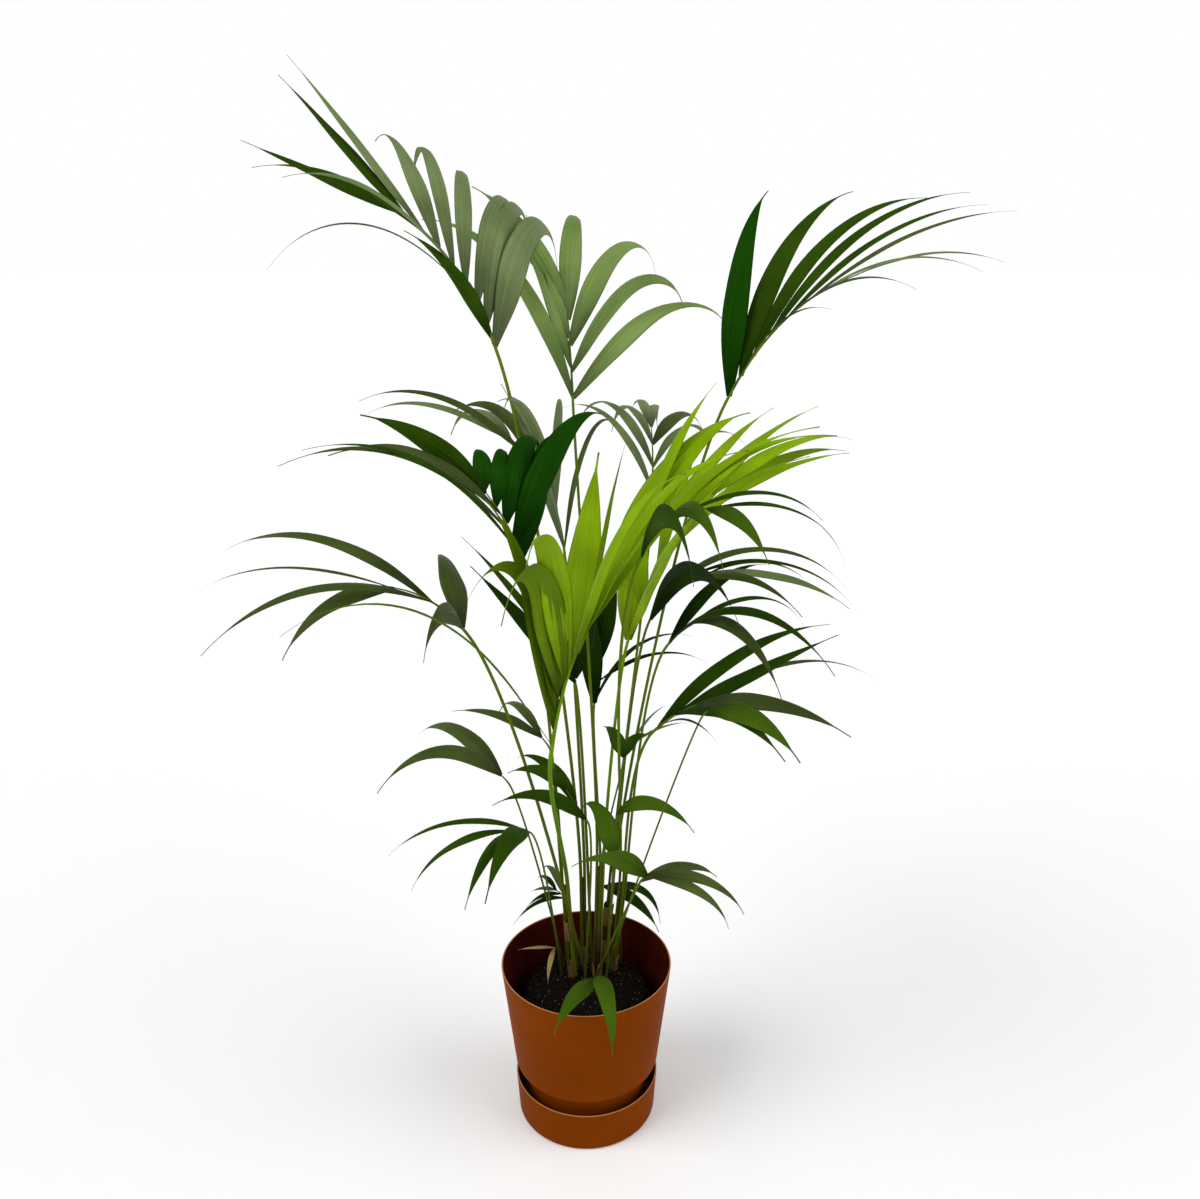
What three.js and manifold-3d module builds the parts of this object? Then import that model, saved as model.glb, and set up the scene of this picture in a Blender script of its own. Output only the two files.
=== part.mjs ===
// Kentia palm growing in a round pot with a saucer.
//
// Millimetres, +Z up, +X to the right, +Y to the back. The origin is the middle of the saucer's
// flat underside. The palm is a clump of five stems in one root ball. Each large frond is a
// petiole that meets its stem and its blade with a small clearance. Each small leaf is one solid
// with its own thin stalk. A blade is a rib with leaflets fused on, cut to the rib between them.

import * as THREE from "three";
import { mergeVertices } from "three/addons/utils/BufferGeometryUtils.js";
import Module from "manifold-3d";

const wasm = await Module();
wasm.setup();

// ---------------------------------------------------------------- driving dimensions

const CLEARANCE = 0.3;

// Pot: a tapering wall over an open shadow gap, then a narrower foot that stands in the saucer.
const POT_SIDES = 36;
const POT_RIM_RADIUS = 120;
const POT_HEIGHT = 244;
const POT_WALL = 2.2;
const POT_SKIRT_RADIUS = 103;
const POT_SKIRT_HEIGHT = 82;
const POT_SKIRT_ROUND = 9;
const POT_FOOT_RADIUS = 86;
const POT_FLOOR = 3;
const LIP_HEIGHT = 1;
const LIP_INSET = 0.6;

const SAUCER_BASE_RADIUS = 99;
const SAUCER_RIM_RADIUS = 102.5;
const SAUCER_HEIGHT = 62;
const SAUCER_WALL = 2.4;
const SAUCER_FLOOR = 3;
const SAUCER_FOOT_ROUND = 5;
const ARC_STEPS = 4;

// Root ball: narrower than the pot, so a dark gap runs round it.
const SOIL_HEIGHT = 196;
const SOIL_RADIUS = 87;
const SOIL_FOOT_RADIUS = 80;
const SOIL_SIDES = 24;
const SOIL_EDGE = 6;

const STEM_SIDES = 8;
const STEM_RINGS = 5;

const PETIOLE_SIDES = 5;
const PETIOLE_STEPS = 8;
const PETIOLE_START = 0.2;
const PETIOLE_END = 0.16;
const STALK_END = 0.08;
const STALK_UPRIGHT = 0.15;
const PETIOLE_TAPER = 0.75;
const PETIOLE_RING_RADIUS = 4.6;

const RIB_STEPS = 16;
const RIB_SIDES = 4;
const RIB_STEPS_PER_RING = 2;
const SMALL_RIB_STEPS_PER_RING = 4;
const RIB_END_RADIUS = 1.1;
const RIB_BEND = 1.4;

const LEAFLET_STEPS = 28;
const LEAFLET_RINGS = [0, 3, 10, 16, 21, 28];
const LEAFLET_WIDEST = 0.34;
const LEAFLET_ROOT_WIDTH = 0.22;
const LEAFLET_BLADE_END = 0.9;
const LEAFLET_TIP_POWER = 1.5;
const LEAFLET_THREAD = 0.06;
const LEAFLET_STEEPEST = 86;
const LEAF_THICKNESS_SHARE = 1 / 90;
const LEAF_THINNEST = 1.8;

const MERGE_DISTANCE = 1e-4;

// A leaflet that would touch a neighbour is turned by the first of these angles that clears it.
const TURNS = [0, 4, -4, 8, -8, 12, -12, 18, -18];

// Stems: foot on the soil, top, and the radii there.
const STEMS = {
  a: { foot: [-20, 30], top: [-30, 30, 347], radius: [8, 6.8] },
  b: { foot: [-4, 58], top: [-5, 55, 343], radius: [7.5, 6.4] },
  c: { foot: [15, 30], top: [20, 30, 376], radius: [8, 6.4] },
  d: { foot: [25, 63], top: [35, 60, 330], radius: [7.5, 6.6] },
  e: { foot: [38, 44], top: [50, 45, 316], radius: [6.5, 6] },
};

// Fronds. "stem" and "seat" say which stem's top a petiole rises from, and at which heading on
// it. One with no stem rises from the soil at "foot". "thick" is the petiole's radius at its
// foot and "base" is where the blade starts. The rib leaves it at "heading" (0 = +X, 90 = +Y) and
// "rise" above level, runs for "length", bends down by "arch" and sideways by "sweep", and its
// blade is rolled by "roll": angles are in degrees. Each row of leaflets, left and right of the
// rib, goes from base to tip. "span" is where its first and last leaflets sit along the rib,
// "splay" their angle off the rib, "lift" their angle out of the blade, "droop" how far each
// bends down, "bend" how late it does so, "size" its length, "twist" its turn about its own
// length and "width" its breadth. Values in a list are spread evenly along the row.
const LARGE_FRONDS = [
  {
    name: "top_left", stem: "b", seat: 230, thick: 2.7,
    base: [-105, 30, 1090], heading: 162, rise: 69, length: 200, arch: 36, sweep: 9, roll: -6,
    left: {
      count: 5, span: [0.08, 0.97], bend: 1.7, splay: [9, 44, 44, 39, 35], lift: [6, 10, 18, 12, -2],
      droop: [40, 88, 56, 48, 2], size: [160, 330, 275, 235, 195],
      twist: [-50, 15, 5, -10, -30], width: [18, 4, 12, 12, 16],
    },
    right: {
      count: 8, span: [0.03, 0.95], bend: 2.6, splay: [43, 42, 45, 38, 35, 32, 17, 21],
      lift: [16, 14, 16, 17, 16, 15, 14, 13], droop: [145, 150, 155, 150, 130, 70, 5, 5],
      size: [350, 350, 335, 325, 335, 272, 292, 268],
      twist: [-5, -20, -25, -20, -15], width: [46, 34, 28, 24, 21, 24, 15, 20],
    },
  },
  {
    name: "top_centre", stem: "c", seat: 180, thick: 2.7,
    base: [-15, 105, 1015], heading: 97, rise: 67, length: 132, arch: 11, sweep: 2, roll: 5,
    left: {
      count: 4, span: [0.06, 0.95], bend: 1.7, splay: [19, 14, 12, 19], lift: [19, 13, 11, 12],
      droop: [68, 22, 22, 38], size: [345, 190, 190, 228],
      twist: [-40, 30, 20, -5], width: [22, 22, 20, 30],
    },
    right: {
      count: 4, span: [0.05, 0.85], bend: 2.6, splay: [41, 31, 23, 6], lift: [17, 10, 10, 9],
      droop: [140, 130, 135, 145], size: [305, 262, 275, 280],
      twist: [-45, 45, 0, 5], width: [34, 27, 28, 31],
    },
  },
  {
    name: "top_right", stem: "d", seat: -50, thick: 2.7,
    base: [170, -5, 1035], heading: -10, rise: 64, length: 210, arch: 44, sweep: -7, roll: 18,
    left: {
      count: 6, span: [0.03, 0.68], bend: 1.5, splay: [26, 23, 19, 15, 11, 6],
      lift: [67, 34, 20, 13, 6, 1], droop: [73, 64, 68, 56, 47, 40],
      size: [292, 300, 312, 295, 260, 250],
      twist: [60, 55, 20, 10], width: [31, 26, 18, 16, 13, 10],
    },
    right: {
      count: 4, span: [0.08, 0.95], bend: 1.6, splay: [38, 31], lift: [20, 15, 15, 21],
      droop: [50, 58, 51, 38], size: [250, 265, 250, 195],
      twist: [0], width: [5, 6, 7],
    },
  },
  {
    name: "mid_left", stem: "a", seat: 160, thick: 2.7,
    base: [-70, -95, 862], heading: 194, rise: 72, length: 104, arch: 21, sweep: -5, roll: -19,
    left: {
      count: 4, span: [0.06, 0.91], bend: 1.5, splay: [26, 33], lift: [-9, -7, 4, 19],
      droop: [55, 60, 50, 28], size: [360, 350, 275, 222],
      twist: [0, 0, 0, -50], width: [9, 11, 20, 26],
    },
    right: {
      count: 5, span: [0.06, 0.94], bend: 2.6, splay: [45, 56, 52, 56, 54],
      lift: [28, 39, 21, 22, 17], droop: [80, 75, 140, 140, 130], size: [215, 245, 205, 126, 90],
      twist: [-55, -35, -40, -15, -25], width: [36, 36, 32, 28, 26],
    },
  },
  {
    name: "back_left", stem: "b", seat: 60, thick: 2.6,
    base: [-28, 125, 800], heading: 140, rise: 83, length: 197, arch: 62, sweep: 8, roll: 16,
    left: {
      count: 5, span: [0.09, 0.97], bend: 1.9, splay: [36, 36, 48, 37, 29],
      lift: [19, 27, 27, 8, 6], droop: [19, 65, 73, 70, 62], size: [295, 315, 260, 255, 205],
      twist: [-10, -30, -40], width: [20, 20, 22, 12, 11],
    },
    right: {
      count: 4, span: [0.06, 0.95], bend: 1.6, splay: [20, 30, 25], lift: [16, 17],
      droop: [104, 78, 79], size: [310, 275, 220],
      twist: [-10, -25], width: [12, 24, 30],
    },
  },
  {
    name: "back_centre", stem: "d", seat: 110, thick: 2.6,
    base: [91, 153, 876], heading: 86, rise: 59, length: 136, arch: 44, sweep: 6, roll: 6,
    left: {
      count: 4, span: [0.08, 0.94], bend: 1.4, splay: [22, 21, 15, 4], lift: [17, 11, 6, 8],
      droop: [87, 105, 100, 52], size: [245, 255, 210, 205],
      twist: [35, 20, 20, -10], width: [17, 18, 18, 16],
    },
    right: {
      count: 4, span: [0.06, 0.93], bend: 1.5, splay: [26, 23, 25, 6], lift: [15, 4, 5, 7],
      droop: [113, 110, 83, 78], size: [235, 195, 180, 210],
      twist: [-35, -40, 0, -10], width: [15, 18, 20, 16],
    },
  },
  {
    name: "young_centre", stem: "a", seat: -40, thick: 3.9,
    base: [-39, -148, 638], heading: 338, rise: 82, length: 385, arch: 53, sweep: 31, roll: 0,
    left: {
      count: 7, span: [0.36, 0.99], bend: 1.6, splay: [35, 28, 27, 37, 31, 25, 21],
      lift: [33, 42, 19, 24, 8, 6, 4], droop: [20, 20, 58, 30, 26, 28, 49],
      size: [252, 225, 320, 280, 240, 235, 220],
      twist: [85, 25, 60, 20, 20, 15, 20], width: [42, 14, 42, 24, 26, 24, 22],
    },
    right: {
      count: 9, span: [0.04, 0.5], bend: 2.4, splay: [36, 20, 23, 27, 29, 20, 17, 15, 15],
      lift: [38, 28, 28, 22, 24, 0, -3, -20, -11], droop: [87, 38, 100, 108, 88, 45, 50, 45, 55],
      size: [430, 365, 375, 370, 385, 355, 365, 380, 370],
      twist: [45, -25, -15, -25, -35, 35, 35, 35, 35], width: [9, 28, 28, 44, 38, 22, 22, 20, 20],
    },
  },
  {
    name: "young_right", stem: "c", seat: 0, thick: 3,
    base: [55, 33, 710], heading: 24, rise: 74, length: 223, arch: 44, sweep: -6, roll: -12,
    left: {
      count: 5, span: [0.03, 0.95], bend: 1.3, splay: [26, 34, 34, 25, 16],
      lift: [9, 8, 10, 3, 2], droop: [54, 64, 39, 54, 43], size: [220, 225, 280, 270, 265],
      twist: [55, 50, 30, 25, 65], width: [42, 30, 22, 20, 18],
    },
    right: {
      count: 4, span: [0.05, 0.94], bend: 1.5, splay: [37, 42, 30, 24], lift: [11, 16, 9, 5],
      droop: [15, 26, 35, 31], size: [225, 200, 225, 195],
      twist: [5, 20, 25], width: [26, 22, 20, 18],
    },
  },
  {
    name: "left_low", foot: [-2, 35], thick: 2.6,
    base: [-142, -78, 769], heading: 190, rise: 54, length: 112, arch: 45, sweep: 3, roll: -4,
    left: {
      count: 3, span: [0.08, 0.93], bend: 1.6, splay: [46, 33, 38], lift: [22, 0, 6],
      droop: [105, 62, 68], size: [165, 320, 178],
      twist: [-25, -5, -30], width: [26, 14, 20],
    },
    right: {
      count: 3, span: [0.06, 0.96], bend: 1.4, splay: [55, 19, 22], lift: [19, 12, 10],
      droop: [66, 70, 48], size: [190, 285, 255],
      twist: [-35, -25], width: [34, 19, 5],
    },
  },
  {
    name: "right_upper", stem: "e", seat: 200, thick: 2.6,
    base: [61, -229, 905], heading: 343, rise: 66, length: 105, arch: 66, sweep: -6, roll: -2,
    left: {
      count: 2, span: [0.5, 0.96], bend: 1.4, splay: [43, 39], lift: [-9, 8],
      droop: [69, 78], size: [208, 190],
      twist: [-25, 15], width: [8, 10],
    },
    right: {
      count: 3, span: [0.05, 0.93], bend: 1.4, splay: [29, 44, 43], lift: [9, 8, 9],
      droop: [120, 84, 61], size: [215, 190, 125],
      twist: [35, 25, 30], width: [26, 18, 17],
    },
  },
  {
    name: "right_mid", stem: "d", seat: 30, thick: 2.6,
    base: [83, 52, 731], heading: 8, rise: 69, length: 120, arch: 73, sweep: -2, roll: -1,
    left: {
      count: 3, span: [0.33, 0.96], bend: 1, splay: [0, 0, 34], lift: [8, 6, 18],
      droop: [106, 84, 52], size: [292, 268, 220],
      twist: [10, 20], width: [18, 10, 9],
    },
    right: {
      count: 3, span: [0.08, 0.94], bend: 1.6, splay: [39, 48, 34], lift: [12, 5, 14],
      droop: [82, 64, 42], size: [337, 235, 195],
      twist: [30, -5, 15], width: [32, 17, 19],
    },
  },
  {
    name: "right_low", stem: "e", seat: 20, thick: 2.4,
    base: [106, -4, 724], heading: 337, rise: 54, length: 51, arch: 21, sweep: -3, roll: 6,
    left: {
      count: 2, span: [0.08, 0.95], bend: 1.3, splay: [41, 40], lift: [12, 3],
      droop: [63, 96], size: [210, 190],
      twist: [65, 25], width: [18, 13],
    },
    right: {
      count: 2, span: [0.08, 0.97], bend: 1.3, splay: [20, 34], lift: [0, 7],
      droop: [87, 84], size: [310, 220],
      twist: [0, 15], width: [17],
    },
  },
  {
    name: "right_front", stem: "e", seat: -80, thick: 2.6,
    base: [88, -67, 634], heading: 349, rise: 46, length: 69, arch: 22, sweep: -1, roll: 1,
    left: {
      count: 3, span: [0.08, 0.96], bend: 1.2, splay: [27, 12, 29], lift: [8, -27, 14],
      droop: [51, 7, 70], size: [286, 221, 285],
      twist: [35, 30, 15], width: [25, 24, 12],
    },
    right: {
      count: 3, span: [0.08, 0.97], bend: 1.5, splay: [46, 43, 29], lift: [11, 8, 5],
      droop: [40, 52, 42], size: [195, 242, 220],
      twist: [-15, -5, 45], width: [5, 24, 21],
    },
  },
  {
    name: "back_dark", stem: "c", seat: 90, thick: 2.4,
    base: [11, 115, 584], heading: 74, rise: 72, length: 66, arch: 24, sweep: 12, roll: -2,
    left: {
      count: 2, span: [0.08, 0.95], bend: 1.5, splay: [8, 10], lift: [14, 11],
      droop: [69, 63], size: [215, 195],
      twist: [0, -10], width: [34],
    },
    right: {
      count: 3, span: [0.08, 0.94], bend: 1.6, splay: [22, 51, 5], lift: [19, 10, 10],
      droop: [91, 77, 58], size: [190, 175, 185],
      twist: [-50, -55, -5], width: [12, 12, 34],
    },
  },
  {
    name: "back_dark_left", foot: [8, 40], thick: 2.4,
    base: [-12, 54, 636], heading: 117, rise: 73, length: 28, arch: 29, sweep: 2, roll: 20,
    left: {
      count: 2, span: [0.4, 0.8], bend: 1.5, splay: [31, 25], lift: [-16, 3], droop: [8, 15],
      size: [212, 240], twist: [-20], width: [24, 14],
    },
    right: {
      count: 1, span: [0.6, 0.6], bend: 1.5, splay: [29], lift: [9], droop: [50], size: [165],
      twist: [-20], width: [35],
    },
  },
];

// Small leaves rise from the soil, or from a stem's top, on a thin stalk of their own.
const SMALL_LEAVES = [
  {
    name: "leaf_right_stalk", foot: [26, 22], thick: 1.4,
    base: [137, -170, 701], heading: 327, rise: 62, length: 14, arch: 54, sweep: 2, roll: 0,
    left: { count: 0 },
    right: {
      count: 1, span: [0.8, 0.8], bend: 1.5, splay: [28], lift: [11], droop: [54], size: [175],
      twist: [40], width: [24],
    },
  },
  {
    name: "leaf_low_left", foot: [-33, 52], thick: 1.6,
    base: [-98, -63, 559], heading: 189, rise: 56, length: 23, arch: 17, sweep: -1, roll: 2,
    left: {
      count: 1, span: [0.6, 0.6], bend: 1.9, splay: [27], lift: [7], droop: [89], size: [220],
      twist: [-45], width: [19],
    },
    right: {
      count: 1, span: [0.6, 0.6], bend: 1.4, splay: [40], lift: [4], droop: [82], size: [180],
      twist: [-65], width: [23],
    },
  },
  {
    name: "leaf_low_left_front", foot: [-36, 30], thick: 1.6,
    base: [-69, -102, 510], heading: 223, rise: 34, length: 32, arch: 25, sweep: -2, roll: 2,
    left: {
      count: 2, span: [0.1, 0.97], bend: 1.5, splay: [29, 29], lift: [6, 8],
      droop: [76, 64], size: [185, 145],
      twist: [-15, 0], width: [26, 17],
    },
    right: {
      count: 2, span: [0.1, 0.97], bend: 1.1, splay: [31, 25], lift: [4, 4],
      droop: [76, 78], size: [190, 155],
      twist: [-25, -20], width: [13, 13],
    },
  },
  {
    name: "leaf_left_behind", foot: [-30, 64], thick: 1.7,
    base: [-52, 48, 557], heading: 150, rise: 47, length: 23, arch: 20, sweep: 1, roll: 12,
    left: {
      count: 1, span: [0.6, 0.6], bend: 1.5, splay: [39], lift: [12], droop: [41], size: [140],
      twist: [-35], width: [14],
    },
    right: {
      count: 1, span: [0.6, 0.6], bend: 1.3, splay: [28], lift: [3], droop: [95], size: [175],
      twist: [-40], width: [15],
    },
  },
  {
    name: "leaf_left_inner", foot: [-2, 12], thick: 1.8,
    base: [3, -14, 474], heading: 164, rise: 56, length: 56, arch: 1, sweep: 0, roll: 3,
    left: {
      count: 2, span: [0.08, 0.97], bend: 1.6, splay: [27, 23], lift: [1, 8],
      droop: [62, 61], size: [165, 110],
      twist: [-35, -40], width: [20, 18],
    },
    right: {
      count: 1, span: [0.5, 0.5], bend: 1.5, splay: [5], lift: [2], droop: [95], size: [130],
      twist: [-40], width: [20],
    },
  },
  {
    name: "leaf_right_inner", foot: [28, -2], thick: 1.8,
    base: [37, -71, 450], heading: 61, rise: 88, length: 80, arch: 26, sweep: 1, roll: -14,
    left: {
      count: 1, span: [0.07, 0.07], bend: 2.6, splay: [13], lift: [9], droop: [140], size: [98],
      twist: [20], width: [32],
    },
    right: {
      count: 1, span: [0.8, 0.8], bend: 1.1, splay: [44], lift: [15], droop: [102], size: [129],
      twist: [-5], width: [19],
    },
  },
  {
    name: "leaf_front_right", foot: [10, 8], thick: 1.9,
    base: [70, -123, 451], heading: 302, rise: 57, length: 36, arch: 46, sweep: 0, roll: -14,
    left: {
      count: 3, span: [0.05, 0.97], bend: 1.4, splay: [52, 44, 40], lift: [14, 0, 6],
      droop: [80, 84, 82], size: [108, 142, 122],
      twist: [-20, -55, 40], width: [20, 17, 15],
    },
    right: {
      count: 1, span: [0.6, 0.6], bend: 1.6, splay: [58], lift: [26], droop: [52], size: [150],
      twist: [45], width: [26],
    },
  },
  {
    name: "leaf_right_back_low", foot: [14, 66], thick: 1.7,
    base: [17, 92, 298], heading: 16, rise: 47, length: 14, arch: 36, sweep: -4, roll: -5,
    left: {
      count: 1, span: [0.7, 0.7], bend: 1.3, splay: [48], lift: [-49], droop: [70], size: [180],
      twist: [-60], width: [13],
    },
    right: {
      count: 1, span: [0.7, 0.7], bend: 1.4, splay: [61], lift: [4], droop: [74], size: [120],
      twist: [0], width: [20],
    },
  },
  {
    name: "leaf_front_small", foot: [14, -20], thick: 1.8,
    base: [14, -79, 270], heading: 269, rise: 57, length: 14, arch: 19, sweep: 1, roll: 10,
    left: {
      count: 1, span: [0.7, 0.7], bend: 1.2, splay: [10], lift: [-15], droop: [160], size: [145],
      twist: [5], width: [24],
    },
    right: {
      count: 1, span: [0.7, 0.7], bend: 1.6, splay: [50], lift: [-30], droop: [70], size: [100],
      twist: [-50], width: [24],
    },
  },
  {
    name: "leaf_left_small", foot: [-12, 44], thick: 1.6,
    base: [-28, 67, 298], heading: 160, rise: 44, length: 22, arch: 23, sweep: -3, roll: 2,
    left: {
      count: 3, span: [0.15, 0.97], bend: 1.4, splay: [51, 48, 28], lift: [7, 9, 11],
      droop: [72, 75, 63], size: [105, 65, 40],
      twist: [10, -5], width: [8],
    },
    right: {
      count: 2, span: [0.15, 0.97], bend: 1.4, splay: [37, 33], lift: [4, 7],
      droop: [101, 88], size: [115, 70],
      twist: [-30, -20], width: [13, 9],
    },
  },
  {
    name: "leaf_upright_small", stem: "c", seat: -80, thick: 1.7,
    base: [49, -22, 562], heading: 58, rise: 77, length: 19, arch: 11, sweep: -2, roll: -19,
    left: {
      count: 1, span: [0.6, 0.6], bend: 1.5, splay: [38], lift: [9], droop: [67], size: [65],
      twist: [20], width: [21],
    },
    right: {
      count: 1, span: [0.6, 0.6], bend: 1.6, splay: [39], lift: [30], droop: [55], size: [90],
      twist: [35], width: [14],
    },
  },
  {
    name: "leaf_right_grey", foot: [50, 62], thick: 1.5,
    base: [55, 40, 551], heading: 38, rise: 48, length: 20, arch: 22, sweep: -2, roll: -5,
    left: {
      count: 1, span: [0.6, 0.6], bend: 1.5, splay: [12], lift: [11], droop: [55], size: [100],
      twist: [25], width: [4],
    },
    right: {
      count: 1, span: [0.6, 0.6], bend: 1.5, splay: [38], lift: [19], droop: [39], size: [90],
      twist: [25], width: [4],
    },
  },
];

// ---------------------------------------------------------------- vectors and curves

const vec = (x, y, z) => new THREE.Vector3(x, y, z);
const radians = THREE.MathUtils.degToRad;
const lerp = THREE.MathUtils.lerp;

/** Unit vector at a heading (0 = +X, 90 = +Y) and a rise above level, in degrees. */
function direction(heading, rise) {
  const level = Math.cos(radians(rise));
  return vec(
    level * Math.cos(radians(heading)),
    level * Math.sin(radians(heading)),
    Math.sin(radians(rise)),
  );
}

/** Value at share q (0 to 1) of a list whose values are spread evenly. */
function spread(values, q) {
  const place = q * (values.length - 1);
  const low = Math.min(Math.floor(place), Math.max(values.length - 2, 0));
  const high = Math.min(low + 1, values.length - 1);
  return lerp(values[low], values[high], place - low);
}

/** The rib's heading and rise at share t of its length. */
function ribAngles(frond, t) {
  return [frond.heading + frond.sweep * t, frond.rise - frond.arch * t ** RIB_BEND];
}

/** Points along the rib from the blade's base to its tip. */
function ribPoints(frond) {
  const points = [vec(...frond.base)];
  for (let i = 0; i < RIB_STEPS; i++) {
    const step = direction(...ribAngles(frond, (i + 0.5) / RIB_STEPS));
    points.push(points[i].clone().addScaledVector(step, frond.length / RIB_STEPS));
  }
  return points;
}

/** Where share t of the rib lies, and its directions: along it, to its left and out of its face. */
function ribStation(frond, points, t) {
  const place = t * RIB_STEPS;
  const low = Math.min(Math.floor(place), RIB_STEPS - 1);
  const point = points[low].clone().lerp(points[low + 1], place - low);
  const [heading, rise] = ribAngles(frond, t);
  const ahead = direction(heading, rise);
  const left = direction(heading + 90, 0).applyAxisAngle(ahead, radians(frond.roll));
  const face = ahead.clone().cross(left);
  return { point, ahead, left, face };
}

// ---------------------------------------------------------------- closed solids

/** A closed mesh through rings of points that run anticlockwise about the way of travel. */
function loft(rings) {
  const points = rings.flat();
  const starts = [];
  let next = 0;
  for (const ring of rings) {
    starts.push(next);
    next += ring.length;
  }
  const faces = [];
  const first = rings[0].length;
  for (let i = 1; i < first - 1; i++) faces.push(0, i + 1, i);
  for (let r = 0; r + 1 < rings.length; r++) {
    const a = starts[r];
    const b = starts[r + 1];
    const count = rings[r].length;
    for (let i = 0; i < count; i++) {
      const j = (i + 1) % count;
      if (rings[r + 1].length === 1) {
        faces.push(a + i, a + j, b);
      } else {
        faces.push(a + i, a + j, b + j, a + i, b + j, b + i);
      }
    }
  }
  const end = starts.at(-1);
  const last = rings.at(-1).length;
  for (let i = 1; i < last - 1; i++) faces.push(end, end + i, end + i + 1);
  const geometry = new THREE.BufferGeometry().setFromPoints(points);
  geometry.setIndex(faces);
  return geometry;
}

/** A round limb through points, with a radius at each. "first" and "last" set its ends' faces. */
function limb(points, radii, sides, first = null, last = null) {
  const rings = points.map((point, i) => {
    const before = points[Math.max(i - 1, 0)];
    const after = points[Math.min(i + 1, points.length - 1)];
    let ahead = after.clone().sub(before).normalize();
    if (i === 0 && first) ahead = first;
    if (i === points.length - 1 && last) ahead = last;
    const across = vec(0, 1, 0).cross(ahead).normalize();
    const up = ahead.clone().cross(across);
    return Array.from({ length: sides }, (_, k) => {
      const angle = (2 * Math.PI * k) / sides;
      return point.clone()
        .addScaledVector(across, radii[i] * Math.cos(angle))
        .addScaledVector(up, radii[i] * Math.sin(angle));
    });
  });
  return loft(rings);
}

/** A turned solid about Z from a closed outline of [radius, height] points. */
function turned(outline, sides) {
  const profile = [...outline, outline[0]].map(([r, z]) => new THREE.Vector2(r, z));
  const geometry = new THREE.LatheGeometry(profile, sides);
  geometry.rotateX(Math.PI / 2);
  return geometry;
}

function solidFrom(geometry) {
  const bare = geometry.clone();
  bare.deleteAttribute("normal");
  bare.deleteAttribute("uv");
  const merged = mergeVertices(bare, MERGE_DISTANCE);
  return new wasm.Manifold(new wasm.Mesh({
    numProp: 3,
    vertProperties: new Float32Array(merged.attributes.position.array),
    triVerts: new Uint32Array(merged.index.array),
  }));
}

function geometryFrom(solid) {
  const mesh = solid.getMesh();
  const geometry = new THREE.BufferGeometry();
  geometry.setAttribute("position", new THREE.BufferAttribute(mesh.vertProperties, 3));
  geometry.setIndex(new THREE.BufferAttribute(mesh.triVerts, 1));
  return geometry;
}

// ---------------------------------------------------------------- the model and its neighbours

const palm = new THREE.Group();
const placed = [];

const MATERIALS = {
  pot: new THREE.MeshStandardMaterial({ color: 0x7e3e08, roughness: 0.4, metalness: 0 }),
  soil: new THREE.MeshStandardMaterial({ color: 0x1c130c, roughness: 0.95, metalness: 0 }),
  stem: new THREE.MeshStandardMaterial({ color: 0x45370f, roughness: 0.6, metalness: 0 }),
  petiole: new THREE.MeshStandardMaterial({ color: 0x4f7411, roughness: 0.5, metalness: 0 }),
  mature: new THREE.MeshStandardMaterial({ color: 0x2f4d17, roughness: 0.5, metalness: 0 }),
  young: new THREE.MeshStandardMaterial({ color: 0x7ea60c, roughness: 0.45, metalness: 0 }),
  withered: new THREE.MeshStandardMaterial({ color: 0x9a8a52, roughness: 0.8, metalness: 0 }),
};

/** Adds one named solid to the model and keeps it as a neighbour for what comes later. */
function place(name, solid, material) {
  const mesh = new THREE.Mesh(geometryFrom(solid), MATERIALS[material]);
  mesh.name = name;
  palm.add(mesh);
  placed.push({ solid, box: boxOf(solid) });
}

function boxOf(solid) {
  const { min, max } = solid.boundingBox();
  return new THREE.Box3(vec(...min), vec(...max));
}

/** True where a solid keeps its clearance to every solid placed before it. */
function isClear(solid) {
  const reach = boxOf(solid).expandByScalar(CLEARANCE);
  return placed.every((other) => {
    if (!reach.intersectsBox(other.box)) return true;
    return solid.minGap(other.solid, CLEARANCE * 2) >= CLEARANCE;
  });
}

// ---------------------------------------------------------------- pot, saucer and root ball

/** Points of an arc between two angles in degrees, as [radius, height]. */
function arc(centreRadius, centreHeight, radius, from, to) {
  return Array.from({ length: ARC_STEPS + 1 }, (_, i) => {
    const angle = radians(lerp(from, to, i / ARC_STEPS));
    return [centreRadius + radius * Math.cos(angle), centreHeight + radius * Math.sin(angle)];
  });
}

function potBody() {
  const floor = SAUCER_FLOOR + CLEARANCE;
  const round = POT_SKIRT_ROUND;
  const outside = [
    [0, floor],
    [POT_FOOT_RADIUS, floor],
    [POT_FOOT_RADIUS, POT_SKIRT_HEIGHT],
    ...arc(POT_SKIRT_RADIUS - round, POT_SKIRT_HEIGHT + round, round, -90, 0),
    [POT_RIM_RADIUS - LIP_INSET, POT_HEIGHT - LIP_HEIGHT],
    [POT_RIM_RADIUS - POT_WALL / 2, POT_HEIGHT],
  ];
  const inside = [
    [POT_RIM_RADIUS - POT_WALL, POT_HEIGHT - LIP_HEIGHT],
    [POT_SKIRT_RADIUS - POT_WALL, POT_SKIRT_HEIGHT + round],
    [POT_FOOT_RADIUS - POT_WALL, POT_SKIRT_HEIGHT + POT_WALL],
    [POT_FOOT_RADIUS - POT_WALL, floor + POT_FLOOR],
    [0, floor + POT_FLOOR],
  ];
  return solidFrom(turned([...outside, ...inside], POT_SIDES));
}

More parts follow.
